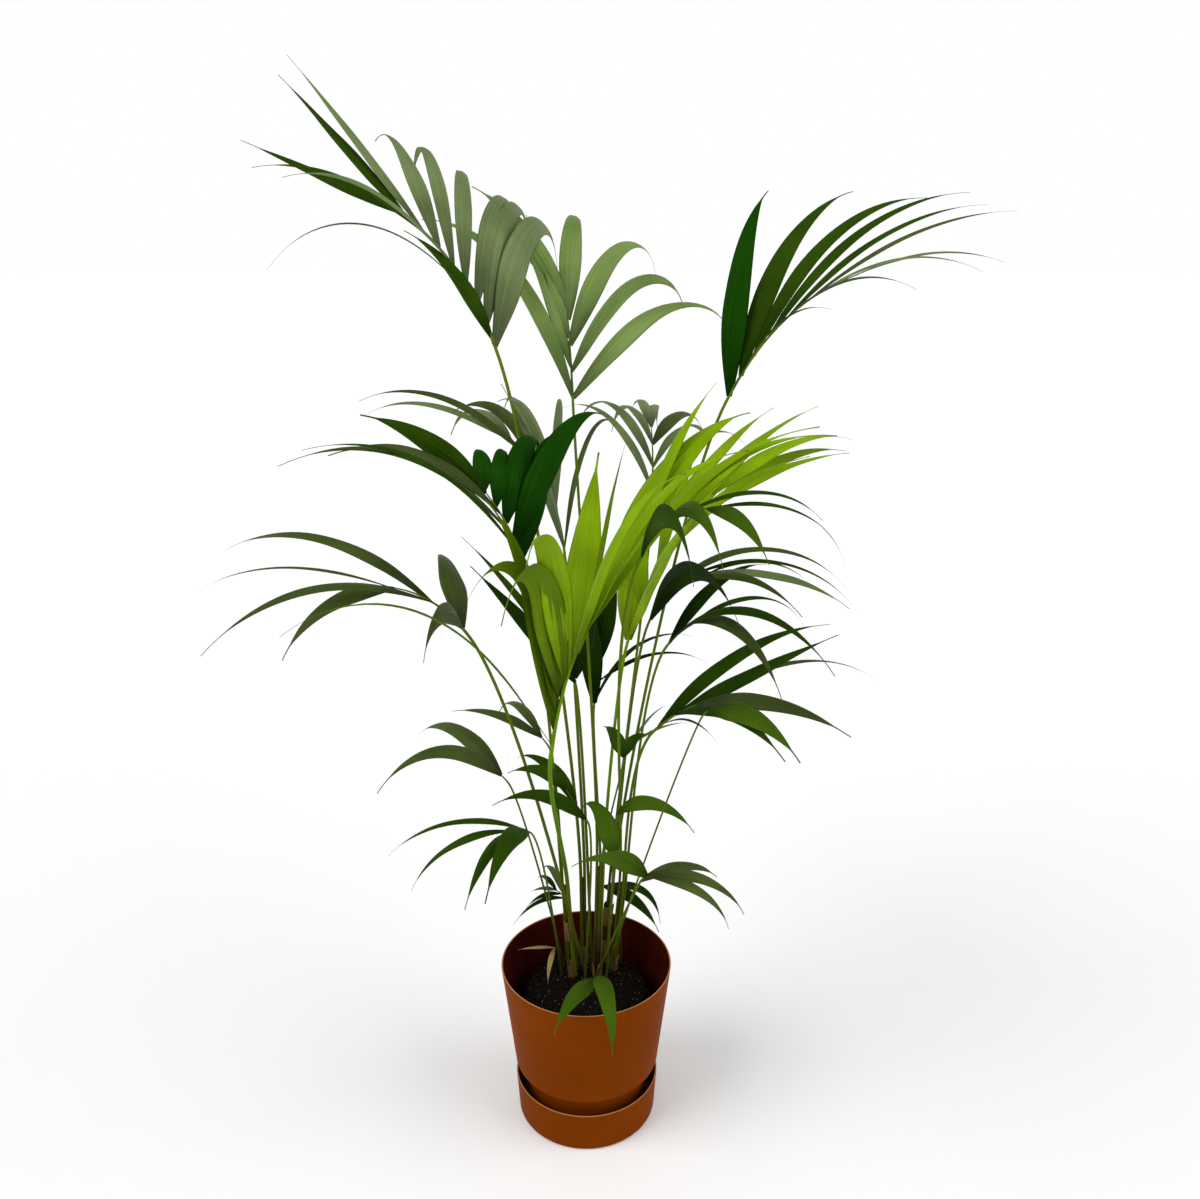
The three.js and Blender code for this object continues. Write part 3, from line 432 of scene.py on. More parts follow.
# Each sheath: its stem, its low and high ends as shares of the stem, its radius at both, the
# heading of its split in turns and how ragged its end is.
SHEATHS = [
    ("a", 0.0, 0.24, 6.2, 6.8, 0.9, 1.6), ("a", 0.42, 0.66, 6.2, 6.6, 0.35, 1.0),
    ("b", 0.0, 0.3, 6.0, 6.6, 0.2, 1.4), ("c", 0.0, 0.16, 6.4, 7.4, 0.7, 2.4),
    ("d", 0.0, 0.34, 6.4, 7.2, 0.55, 1.8), ("d", 0.5, 0.78, 6.8, 7.2, 0.1, 1.0),
    ("e", 0.0, 0.26, 6.0, 6.8, 0.75, 2.0),
]


def sweep_tree():
    """Sweeps a round section along each line of a mesh, at the line's own radius."""
    tree, given = group_tree("round_limbs", [
        ("Sides", "NodeSocketInt"), ("Groove", "NodeSocketFloat"),
        ("Material", "NodeSocketMaterial")])
    line = add_node(tree, "GeometryNodeMeshToCurve", {"Mesh": given["Geometry"]})
    circle = add_node(tree, "GeometryNodeCurvePrimitiveCircle",
                      {"Resolution": given["Sides"], "Radius": 1.0})
    ahead = add_node(tree, "ShaderNodeSeparateXYZ",
                     {0: add_node(tree, "GeometryNodeInputPosition").outputs[0]})
    crest = add_node(tree, "ShaderNodeMath", {0: ahead.outputs["Y"], 1: 0.0}, operation="MAXIMUM")
    narrow = add_node(tree, "ShaderNodeMath", {0: crest.outputs[0], 1: GROOVE_POWER},
                      operation="POWER")
    depth = add_node(tree, "ShaderNodeMath", {0: narrow.outputs[0], 1: given["Groove"]},
                     operation="MULTIPLY")
    down = add_node(tree, "ShaderNodeMath", {0: 0.0, 1: depth.outputs[0]}, operation="SUBTRACT")
    offset = add_node(tree, "ShaderNodeCombineXYZ", {"Y": down.outputs[0]})
    section = add_node(tree, "GeometryNodeSetPosition",
                       {"Geometry": circle.outputs["Curve"], "Offset": offset.outputs[0]})
    radius = add_node(tree, "GeometryNodeInputNamedAttribute", {"Name": "radius_m"},
                      data_type="FLOAT")
    swept = add_node(tree, "GeometryNodeCurveToMesh",
                     {"Curve": line.outputs[0], "Profile Curve": section.outputs[0],
                      "Scale": radius.outputs["Attribute"], "Fill Caps": True})
    smooth = add_node(tree, "GeometryNodeSetShadeSmooth", {"Geometry": swept.outputs[0]})
    finish_tree(tree, smooth.outputs[0], given["Material"])
    return tree


def line_mesh(name, lines, **values):
    """A mesh of open lines. Each value names an attribute and gives its kind and its lists."""
    points = [point for line in lines for point in line]
    edges = []
    first = 0
    for line in lines:
        edges += [(first + i, first + i + 1) for i in range(len(line) - 1)]
        first += len(line)
    mesh = bpy.data.meshes.new(name)
    mesh.from_pydata(points, edges, [])
    for title, (kind, lists) in values.items():
        attribute = mesh.attributes.new(title, kind, "POINT")
        flat = [value for one in lists for value in one]
        if kind == "FLOAT_VECTOR":
            attribute.data.foreach_set("vector", [x for value in flat for x in value])
        else:
            attribute.data.foreach_set("value", flat)
    return mesh


def fibrous(name, stops, grain, run, detail, relief, depth, roughness, shine, streaking=None,
            climb=None):
    """Plant skin with lengthwise fibres: their width is its grain and their length its run, in
    millimetres, drawn coarse so that they show. Its colours follow the fibres alone, or climb
    from one height in metres to another."""
    material, tree = new_material(name)
    place = add_node(tree, "ShaderNodeTexCoord").outputs["Object"]
    stretched = add_node(tree, "ShaderNodeMapping",
                         {"Vector": place,
                          "Scale": [1 / (size * MM) for size in (grain, grain, run)]})
    streaks = add_node(tree, "ShaderNodeTexNoise",
                       {"Vector": stretched.outputs[0], "Scale": 1.0, "Detail": detail})
    share = streaks.outputs["Fac"]
    if climb:
        height = add_node(tree, "ShaderNodeSeparateXYZ", {0: place})
        raised = add_node(tree, "ShaderNodeMapRange",
                          {"Value": height.outputs["Z"], "From Min": climb[0],
                           "From Max": climb[1]})
        varied = add_node(tree, "ShaderNodeMath", {0: share, 1: streaking[0], 2: streaking[1]},
                          operation="MULTIPLY_ADD")
        both = add_node(tree, "ShaderNodeMath", {0: varied.outputs[0], 1: raised.outputs["Result"]},
                        operation="ADD", use_clamp=True)
        share = both.outputs[0]
    tone = add_node(tree, "ShaderNodeValToRGB", {"Fac": share})
    set_ramp(tone, stops)
    bumps = add_node(tree, "ShaderNodeBump",
                     {"Height": streaks.outputs["Fac"], "Strength": relief,
                      "Distance": depth * MM})
    finish_material(tree, {
        "Base Color": tone.outputs["Color"], "Roughness": roughness, "Specular IOR Level": shine,
        "Normal": bumps.outputs["Normal"]})
    return material


# Old wood: purple brown with fibres, olive towards its top, and half matt.
WOODY_CORE = fibrous("fibrous_core", [(0.1, "#1c0f0c"), (0.5, "#2f1b12"), (0.9, "#3c3a12")],
                     grain=1.11, run=55.6, detail=4.0, relief=0.5, depth=0.4, roughness=0.5,
                     shine=0.06, streaking=(0.9, -0.25), climb=(0.19, 0.36))
# Dead leaf sheath: papery, straw to brown, and nearly matt.
PAPERY_SHEATH = fibrous("papery_leaf_sheath", [(0.35, "#2f1e10"), (0.7, "#8a7440")],
                        grain=0.77, run=25, detail=5.0, relief=0.7, depth=0.3,
                        roughness=0.75, shine=0.1)


def sheath(mesh, axis, radii, split, ragged, draw):
    """Adds one split sheath round a stem's axis to a bmesh: it gapes at its split, more so
    towards its end, which is cut on the slant and torn."""
    rings = []
    for k in range(SHEATH_STEPS + 1):
        t = k / SHEATH_STEPS
        gape = SHEATH_GAPE[0] + SHEATH_GAPE[1] * t ** 3
        ring = []
        for i in range(SHEATH_SIDES + 1):
            q = i / SHEATH_SIDES
            angle = split + gape + (2 * math.pi - 2 * gape) * q
            slant = 1 - SHEATH_SLANT * (1 - math.cos(2 * math.pi * q)) / 2
            torn = 1 - ragged * SHEATH_TEAR * draw.random() if k == SHEATH_STEPS else 1
            share = t * slant * torn
            centre = axis[0].lerp(axis[1], share)
            radius = radii[0] + (radii[1] - radii[0]) * share
            ripple = math.sin(SHEATH_WAVES_ROUND * angle + SHEATH_WAVES_ALONG * t)
            out = Vector((math.cos(angle), math.sin(angle), 0)) * radius
            ring.append(mesh.verts.new(centre + out * (1 + SHEATH_WAVE * ripple) * MM))
        rings.append(ring)
    for low, high in zip(rings, rings[1:]):
        for i in range(SHEATH_SIDES):
            face = mesh.faces.new((low[i], low[i + 1], high[i + 1], high[i]))
            face.smooth = True


LIMBS = sweep_tree()
draw = random.Random(SHEATH_SEED)
cores, core_radii = [], []
for key, stem in STEMS.items():
    foot = Vector((*stem["foot"], SOIL_HEIGHT - ROOT_DEPTH)) * MM
    top = Vector(stem["top"]) * MM
    shares = [i / STEM_STEPS for i in range(STEM_STEPS + 1)]
    cores.append([foot.lerp(top, t) for t in shares])
    core_radii.append([CORES[key] * (1 - CORE_TAPER * t) * MM for t in shares])

sheaths = bmesh.new()
for key, low, high, low_radius, high_radius, turn, ragged in SHEATHS:
    foot = Vector((*STEMS[key]["foot"], SOIL_HEIGHT - ROOT_DEPTH)) * MM
    top = Vector(STEMS[key]["top"]) * MM
    ends = (foot.lerp(top, low), foot.lerp(top, high))
    sheath(sheaths, ends, (low_radius, high_radius), turn * 2 * math.pi, ragged, draw)

stems = run_tree("stems", line_mesh("stems", cores, radius_m=("FLOAT", core_radii)), LIMBS,
                 sides=STEM_SIDES, groove=0.0, material=WOODY_CORE)
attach(stems, "root")
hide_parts(*("stem_" + key for key in STEMS))

sheath_mesh = bpy.data.meshes.new("stem_sheaths")
sheaths.to_mesh(sheath_mesh)
sheaths.free()
stem_sheaths = new_object("stem_sheaths", sheath_mesh)
wall = stem_sheaths.modifiers.new("wall", "SOLIDIFY")
wall.thickness = SHEATH_WALL * MM
wall.offset = 1
stem_sheaths.data.materials.append(PAPERY_SHEATH)
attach(stem_sheaths, "root")

# ------------------------------------------------------------------------------------ petioles
# Each frond hangs on one smooth green stalk, a little grooved on its upper side. It leaves its
# cane's sheath upright, tapers as it rises, and runs on as the frond's rib between the leaflets.

# The fronds' table: "stem" and "seat" give the cane and the heading at which the stalk leaves
# it, or "foot" its place on the soil. "thick" is its radius there and "base" is where the blade
# starts. The rib leaves it at "heading" (0 = +X, 90 = +Y) and "rise" above level, runs for
# "length", bends down by "arch" and sideways by "sweep", and its blade is rolled by "roll". Each
# row of leaflets goes from base to tip: "tints" names each one's colour, "span" is where the
# first and last sit along the rib, "splay" their angle off the rib, "lift" their angle out of
# the blade, "droop" how far each bends down, "bend" how late it does so, "size" its length,
# "twist" its turn about its own length and "width" its breadth. Lists are spread evenly over
# the row, and one value holds for all of it.

LARGE_FRONDS = [
    dict(name="top_left", stem="b", seat=230, thick=2.7, base=(-105, 30, 1090), heading=162,
         rise=69, length=200, arch=36, sweep=9, roll=-6,
         left=dict(tints="dogdd", span=(0.08, 0.97), bend=1.7, splay=(9, 44, 44, 39, 35),
                   lift=(6, 10, 18, 12, -2), droop=(40, 88, 56, 48, 2),
                   size=(160, 330, 275, 235, 195), twist=(-50, 15, 5, -10, -30),
                   width=(18, 4, 12, 12, 16)),
         right=dict(tints="gggggggd", span=(0.03, 0.95), bend=2.6,
                    splay=(43, 42, 45, 38, 35, 32, 17, 21), lift=(16, 14, 16, 17, 16, 15, 14, 13),
                    droop=(145, 150, 155, 150, 130, 70, 5, 5),
                    size=(350, 350, 335, 325, 335, 272, 292, 268), twist=(-5, -20, -25, -20, -15),
                    width=(46, 34, 28, 24, 21, 24, 15, 20))),
    dict(name="top_centre", stem="c", seat=180, thick=2.7, base=(-15, 105, 1015), heading=97,
         rise=67, length=132, arch=11, sweep=2, roll=5,
         left=dict(tints="ssss", span=(0.06, 0.95), bend=1.7, splay=(19, 14, 12, 19),
                   lift=(19, 13, 11, 12), droop=(68, 22, 22, 38), size=(345, 190, 190, 228),
                   twist=(-40, 30, 20, -5), width=(22, 22, 20, 30)),
         right=dict(tints="ssss", span=(0.05, 0.85), bend=2.6, splay=(41, 31, 23, 6),
                    lift=(17, 10, 10, 9), droop=(140, 130, 135, 145), size=(305, 262, 275, 280),
                    twist=(-45, 45, 0, 5), width=(34, 27, 28, 31))),
    dict(name="top_right", stem="d", seat=-50, thick=2.7, base=(170, -5, 1035), heading=-10,
         rise=64, length=210, arch=44, sweep=-7, roll=18,
         left=dict(tints="eddddo", span=(0.03, 0.68), bend=1.5, splay=(26, 23, 19, 15, 11, 6),
                   lift=(67, 34, 20, 13, 6, 1), droop=(73, 64, 68, 56, 47, 40),
                   size=(292, 300, 312, 295, 260, 250), twist=(60, 55, 20, 10),
                   width=(31, 26, 18, 16, 13, 10)),
         right=dict(tints="dogg", span=(0.08, 0.95), bend=1.6, splay=(38, 31),
                    lift=(20, 15, 15, 21), droop=(50, 58, 51, 38), size=(250, 265, 250, 195),
                    twist=0, width=(5, 6, 7))),
    dict(name="mid_left", stem="a", seat=160, thick=2.7, base=(-70, -95, 862), heading=194, rise=72,
         length=104, arch=21, sweep=-5, roll=-19,
         left=dict(tints="dood", span=(0.06, 0.91), bend=1.5, splay=(26, 33), lift=(-9, -7, 4, 19),
                   droop=(55, 60, 50, 28), size=(360, 350, 275, 222), twist=(0, 0, 0, -50),
                   width=(9, 11, 20, 26)),
         right=dict(tints="eeeee", span=(0.06, 0.94), bend=2.6, splay=(45, 56, 52, 56, 54),
                    lift=(28, 39, 21, 22, 17), droop=(80, 75, 140, 140, 130),
                    size=(215, 245, 205, 126, 90), twist=(-55, -35, -40, -15, -25),
                    width=(36, 36, 32, 28, 26))),
    dict(name="back_left", stem="b", seat=60, thick=2.6, base=(-28, 125, 800), heading=140, rise=83,
         length=197, arch=62, sweep=8, roll=16,
         left=dict(tints="ggoog", span=(0.09, 0.97), bend=1.9, splay=(36, 36, 48, 37, 29),
                   lift=(19, 27, 27, 8, 6), droop=(19, 65, 73, 70, 62),
                   size=(295, 315, 260, 255, 205), twist=(-10, -30, -40),
                   width=(20, 20, 22, 12, 11)),
         right=dict(tints="oggg", span=(0.06, 0.95), bend=1.6, splay=(20, 30, 25), lift=(16, 17),
                    droop=(104, 78, 79), size=(310, 275, 220), twist=(-10, -25),
                    width=(12, 24, 30))),
    dict(name="back_centre", stem="d", seat=110, thick=2.6, base=(91, 153, 876), heading=86,
         rise=59, length=136, arch=44, sweep=6, roll=6,
         left=dict(tints="gggg", span=(0.08, 0.94), bend=1.4, splay=(22, 21, 15, 4),
                   lift=(17, 11, 6, 8), droop=(87, 105, 100, 52), size=(245, 255, 210, 205),
                   twist=(35, 20, 20, -10), width=(17, 18, 18, 16)),
         right=dict(tints="ggog", span=(0.06, 0.93), bend=1.5, splay=(26, 23, 25, 6),
                    lift=(15, 4, 5, 7), droop=(113, 110, 83, 78), size=(235, 195, 180, 210),
                    twist=(-35, -40, 0, -10), width=(15, 18, 20, 16))),
    dict(name="young_centre", stem="a", seat=-40, thick=3.9, base=(-39, -148, 638), heading=338,
         rise=82, length=385, arch=53, sweep=31, roll=0,
         left=dict(tints="yzyyyyy", span=(0.36, 0.99), bend=1.6,
                   splay=(35, 28, 27, 37, 31, 25, 21), lift=(33, 42, 19, 24, 8, 6, 4),
                   droop=(20, 20, 58, 30, 26, 28, 49), size=(252, 225, 320, 280, 240, 235, 220),
                   twist=(85, 25, 60, 20, 20, 15, 20), width=(42, 14, 42, 24, 26, 24, 22)),
         right=dict(tints="zzzzyyyyy", span=(0.04, 0.5), bend=2.4,
                    splay=(36, 20, 23, 27, 29, 20, 17, 15, 15),
                    lift=(38, 28, 28, 22, 24, 0, -3, -20, -11),
                    droop=(87, 38, 100, 108, 88, 45, 50, 45, 55),
                    size=(430, 365, 375, 370, 385, 355, 365, 380, 370),
                    twist=(45, -25, -15, -25, -35, 35, 35, 35, 35),
                    width=(9, 28, 28, 44, 38, 22, 22, 20, 20))),
    dict(name="young_right", stem="c", seat=0, thick=3, base=(55, 33, 710), heading=24, rise=74,
         length=223, arch=44, sweep=-6, roll=-12,
         left=dict(tints="yyyyz", span=(0.03, 0.95), bend=1.3, splay=(26, 34, 34, 25, 16),
                   lift=(9, 8, 10, 3, 2), droop=(54, 64, 39, 54, 43),
                   size=(220, 225, 280, 270, 265), twist=(55, 50, 30, 25, 65),
                   width=(42, 30, 22, 20, 18)),
         right=dict(tints="yyyy", span=(0.05, 0.94), bend=1.5, splay=(37, 42, 30, 24),
                    lift=(11, 16, 9, 5), droop=(15, 26, 35, 31), size=(225, 200, 225, 195),
                    twist=(5, 20, 25), width=(26, 22, 20, 18))),
    dict(name="left_low", foot=(-2, 35), thick=2.6, base=(-142, -78, 769), heading=190, rise=54,
         length=112, arch=45, sweep=3, roll=-4,
         left=dict(tints="ooo", span=(0.08, 0.93), bend=1.6, splay=(46, 33, 38), lift=(22, 0, 6),
                   droop=(105, 62, 68), size=(165, 320, 178), twist=(-25, -5, -30),
                   width=(26, 14, 20)),
         right=dict(tints="ooo", span=(0.06, 0.96), bend=1.4, splay=(55, 19, 22),
                    lift=(19, 12, 10), droop=(66, 70, 48), size=(190, 285, 255), twist=(-35, -25),
                    width=(34, 19, 5))),
    dict(name="right_upper", stem="e", seat=200, thick=2.6, base=(61, -229, 905), heading=343,
         rise=66, length=105, arch=66, sweep=-6, roll=-2,
         left=dict(tints="dd", span=(0.5, 0.96), bend=1.4, splay=(43, 39), lift=(-9, 8),
                   droop=(69, 78), size=(208, 190), twist=(-25, 15), width=(8, 10)),
         right=dict(tints="dmm", span=(0.05, 0.93), bend=1.4, splay=(29, 44, 43), lift=(9, 8, 9),
                    droop=(120, 84, 61), size=(215, 190, 125), twist=(35, 25, 30),
                    width=(26, 18, 17))),
    dict(name="right_mid", stem="d", seat=30, thick=2.6, base=(83, 52, 731), heading=8, rise=69,
         length=120, arch=73, sweep=-2, roll=-1,
         left=dict(tints="odd", span=(0.33, 0.96), bend=1, splay=(0, 0, 34), lift=(8, 6, 18),
                   droop=(106, 84, 52), size=(292, 268, 220), twist=(10, 20), width=(18, 10, 9)),
         right=dict(tints="kog", span=(0.08, 0.94), bend=1.6, splay=(39, 48, 34), lift=(12, 5, 14),
                    droop=(82, 64, 42), size=(337, 235, 195), twist=(30, -5, 15),
                    width=(32, 17, 19))),
    dict(name="right_low", stem="e", seat=20, thick=2.4, base=(106, -4, 724), heading=337, rise=54,
         length=51, arch=21, sweep=-3, roll=6,
         left=dict(tints="kd", span=(0.08, 0.95), bend=1.3, splay=(41, 40), lift=(12, 3),
                   droop=(63, 96), size=(210, 190), twist=(65, 25), width=(18, 13)),
         right=dict(tints="do", span=(0.08, 0.97), bend=1.3, splay=(20, 34), lift=(0, 7),
                    droop=(87, 84), size=(310, 220), twist=(0, 15), width=17)),
    dict(name="right_front", stem="e", seat=-80, thick=2.6, base=(88, -67, 634), heading=349,
         rise=46, length=69, arch=22, sweep=-1, roll=1,
         left=dict(tints="ddo", span=(0.08, 0.96), bend=1.2, splay=(27, 12, 29), lift=(8, -27, 14),
                   droop=(51, 7, 70), size=(286, 221, 285), twist=(35, 30, 15), width=(25, 24, 12)),
         right=dict(tints="ddo", span=(0.08, 0.97), bend=1.5, splay=(46, 43, 29), lift=(11, 8, 5),
                    droop=(40, 52, 42), size=(195, 242, 220), twist=(-15, -5, 45),
                    width=(5, 24, 21))),
    dict(name="back_dark", stem="c", seat=90, thick=2.4, base=(11, 115, 584), heading=74, rise=72,
         length=66, arch=24, sweep=12, roll=-2,
         left=dict(tints="kk", span=(0.08, 0.95), bend=1.5, splay=(8, 10), lift=(14, 11),
                   droop=(69, 63), size=(215, 195), twist=(0, -10), width=34),
         right=dict(tints="kkk", span=(0.08, 0.94), bend=1.6, splay=(22, 51, 5), lift=(19, 10, 10),
                    droop=(91, 77, 58), size=(190, 175, 185), twist=(-50, -55, -5),
                    width=(12, 12, 34))),
    dict(name="back_dark_left", foot=(8, 40), thick=2.4, base=(-12, 54, 636), heading=117, rise=73,
         length=28, arch=29, sweep=2, roll=20,
         left=dict(tints="kd", span=(0.4, 0.8), bend=1.5, splay=(31, 25), lift=(-16, 3),
                   droop=(8, 15), size=(212, 240), twist=-20, width=(24, 14)),
         right=dict(tints="k", span=0.6, bend=1.5, splay=29, lift=9, droop=50, size=165, twist=-20,
                    width=35)),
]
# The gap between a stalk's start and the cane or compost that carries it.
CLEARANCE = 0.3
PETIOLE_STEPS = 32
PETIOLE_SIDES = 12
PETIOLE_GROOVE = 0.25
# How long a stalk keeps its way as it starts, and as it ends at a frond or at a small leaf, as
# shares of its reach, and how far one that starts from the compost is set upright.
PETIOLE_START = 0.2
PETIOLE_END = 0.16
STALK_END = 0.08
STALK_UPRIGHT = 0.15
# Its radius at the blade, as a share of its radius at the start.
PETIOLE_TAPER = 0.75
# How far it stands from its cane's middle line: at the cane's top and in the compost.
PETIOLE_RING_RADIUS = 4.6
PETIOLE_FOOT_RADIUS = 3.2
RIB_STEPS = 16
RIB_END_RADIUS = 0.7
# How late a rib bends down: 1 is an even arc.
RIB_BEND = 1.4
LEVEL_UP = Vector((0, 0, 1))


def direction(heading, rise):
    """Unit vector at a heading (0 = +X, 90 = +Y) and a rise above level, in degrees."""
    heading, rise = math.radians(heading), math.radians(rise)
    level = math.cos(rise)
    return Vector((level * math.cos(heading), level * math.sin(heading), math.sin(rise)))


def spread(values, q):
    """Value at share q (0 to 1) of a list whose values are spread evenly, or the one value."""
    if not isinstance(values, tuple):
        return values
    place = q * (len(values) - 1)
    low = min(int(place), max(len(values) - 2, 0))
    high = min(low + 1, len(values) - 1)
    return values[low] + (values[high] - values[low]) * (place - low)


def rib_angles(frond, t):
    """The rib's heading and rise at share t of its length."""
    return frond["heading"] + frond["sweep"] * t, frond["rise"] - frond["arch"] * t ** RIB_BEND


def rib_points(frond):
    """Points along the rib from the blade's base to its tip, in millimetres."""
    points = [Vector(frond["base"])]
    for i in range(RIB_STEPS):
        step = direction(*rib_angles(frond, (i + 0.5) / RIB_STEPS))
        points.append(points[-1] + step * frond["length"] / RIB_STEPS)
    return points


def stalk_points(frond, straightness):
    """Points from the compost to the blade's base, in millimetres. A stalk on a cane first runs
    up beside it, and then leaves its top."""
    ahead = direction(*rib_angles(frond, 0))
    end = Vector(frond["base"])
    if "stem" in frond:
        stem = STEMS[frond["stem"]]
        top = Vector(stem["top"])
        leaves = (top - Vector((*stem["foot"], SOIL_HEIGHT + CLEARANCE))).normalized()
        out = direction(frond["seat"], 0)
        out = (out - leaves * out.dot(leaves)).normalized()
        start = top + leaves * CLEARANCE + out * PETIOLE_RING_RADIUS
        foot = Vector((*stem["foot"], SOIL_HEIGHT - ROOT_DEPTH))
        root = [foot.lerp(start - out * PETIOLE_RING_RADIUS, t)
                + out * spread((PETIOLE_FOOT_RADIUS, PETIOLE_RING_RADIUS), t)
                for t in (i / STEM_STEPS for i in range(STEM_STEPS))]
    else:
        start = Vector((*frond["foot"], SOIL_HEIGHT + CLEARANCE))
        leaves = (end - start).normalized().lerp(LEVEL_UP, STALK_UPRIGHT)
        root = [start - LEVEL_UP * ROOT_DEPTH]
    reach = (end - start).length
    knots = [start, start + leaves * reach * PETIOLE_START, end - ahead * reach * straightness, end]
    points = []
    for i in range(PETIOLE_STEPS + 1):
        t = i / PETIOLE_STEPS
        shares = ((1 - t) ** 3, 3 * t * (1 - t) ** 2, 3 * t * t * (1 - t), t ** 3)
        points.append(sum((knot * share for knot, share in zip(knots, shares)), Vector()))
    return root + points


def green_stalk(name, foot, middle, top):
    """Living stalk: waxy and smooth, with faint lengthwise streaks, and browner at its foot."""
    return fibrous(name, [(0.0, foot), (0.3, middle), (0.8, top)], grain=1.43, run=83,
                   detail=3.0, relief=0.3, depth=0.2, roughness=0.38, shine=0.02,
                   streaking=(0.3, -0.15), climb=(0.2, 1.1))


def grow_limbs(name, fronds, straightness, material):
    """One piece that holds the stalks and ribs of some fronds."""
    lines, radii = [], []
    for frond in fronds:
        stalk = stalk_points(frond, straightness)
        rib = rib_points(frond)[1:]
        blade_radius = frond["thick"] * PETIOLE_TAPER
        lines.append([point * MM for point in stalk + rib])
        stalk_radii = [spread((frond["thick"], blade_radius), i / (len(stalk) - 1)) * MM
                       for i in range(len(stalk))]
        rib_radii = [spread((blade_radius, RIB_END_RADIUS), (i + 1) / len(rib)) * MM
                     for i in range(len(rib))]
        radii.append(stalk_radii + rib_radii)
    mesh = line_mesh(name, lines, radius_m=("FLOAT", radii))
    piece = run_tree(name, mesh, LIMBS, sides=PETIOLE_SIDES, groove=PETIOLE_GROOVE,
                     material=material)
    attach(piece, "root")
    return piece


old_fronds = [frond for frond in LARGE_FRONDS if not frond["name"].startswith("young")]
young_fronds = [frond for frond in LARGE_FRONDS if frond["name"].startswith("young")]
for name, fronds, colours in [
        ("petioles_mature", old_fronds, ("#4a4410", "#4e600c", "#5a700e")),
        ("petioles_young", young_fronds, ("#4e5e10", "#567608", "#6c9006"))]:
    piece = grow_limbs(name, fronds, PETIOLE_END, green_stalk("waxy_" + name, *colours))
    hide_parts(*("petiole_" + frond["name"] for frond in fronds))

# ------------------------------------------------------------------------------------ leaflets
# Each leaflet is a thin blade, folded along its middle like a roof and finely pleated by the
# veins that run its length. It swells from a narrow root and thins out to a long drying tip.
# The top of a leaf is waxy green: near black with painted shade when old and shaded, grey-green
# with painted sheen, lime when it has just opened.

LEAFLET_STEPS = 28
LEAFLET_SEED = 11
BLADE_SECTION = 34
# Where a leaflet is widest and where its blade ends, as shares of its length.
LEAFLET_WIDEST = 0.34
LEAFLET_BLADE_END = 0.9
# Widths of its root and of the thread at its tip, as shares of its widest.
LEAFLET_ROOT_WIDTH = 0.22
LEAFLET_THREAD = 0.06
LEAFLET_TIP_POWER = 1.5
# In degrees: the steepest that it hangs, and how far it sways aside and rolls at its tip. The
# roll goes to and fro as a wave of so many half turns.
LEAFLET_STEEPEST = 86
LEAFLET_SWAY = 3
LEAFLET_ROLL = 10
LEAFLET_ROLLS = 2.2
# How much steeper the roof fold is at the root, and how soon that fades.
ROOT_FOLD = 1.2
ROOT_FOLD_FADE = 5.0
# The slow wave of the edges, in radians: its run along the blade, how far one edge lags the
# middle, and where it may start.
EDGE_WAVES = 15.0
EDGE_LAG = 0.8
EDGE_START = (0, 6)
# Veins across the blade, and how often their pattern changes along it.
VEINS_ACROSS = 26
VEIN_LENGTHS = 1.6
# How far the veins make its roughness vary.
GLOSS_SPREAD = 0.06
# Leaflets that are turned aside to clear a neighbour: frond, row and number, and degrees.
TURNED = {
    ("top_centre", "left", 3): 4, ("mid_left", "right", 2): 4, ("back_left", "left", 0): -4,
    ("back_left", "left", 1): 4, ("young_right", "left", 1): 8, ("right_mid", "right", 0): 4,
    ("leaf_left_inner", "left", 0): 4, ("leaf_left_inner", "left", 1): 8,
    ("leaf_left_inner", "right", 0): 8, ("leaf_right_back_low", "right", 0): -8,
    ("leaf_right_grey", "right", 0): -4,
}


def rib_station(frond, points, t):
    """Where share t of the rib lies, and its directions: ahead, to its left, out of its face."""
    place = t * RIB_STEPS
    low = min(int(place), RIB_STEPS - 1)
    point = points[low].lerp(points[low + 1], place - low)
    heading, rise = rib_angles(frond, t)
    ahead = direction(heading, rise)
    left = Quaternion(ahead, math.radians(frond["roll"])) @ direction(heading + 90, 0)
    return point, ahead, left, ahead.cross(left)


def leaflet_width(s):
    """A leaflet's width at share s of its length, as a share of its widest. It ends in a thread."""
    if s < LEAFLET_WIDEST:
        swell = math.sin(math.pi / 2 * s / LEAFLET_WIDEST)
        return LEAFLET_ROOT_WIDTH + (1 - LEAFLET_ROOT_WIDTH) * swell
    past = min((s - LEAFLET_WIDEST) / (LEAFLET_BLADE_END - LEAFLET_WIDEST), 1)
    return 1 - (1 - LEAFLET_THREAD) * past ** LEAFLET_TIP_POWER


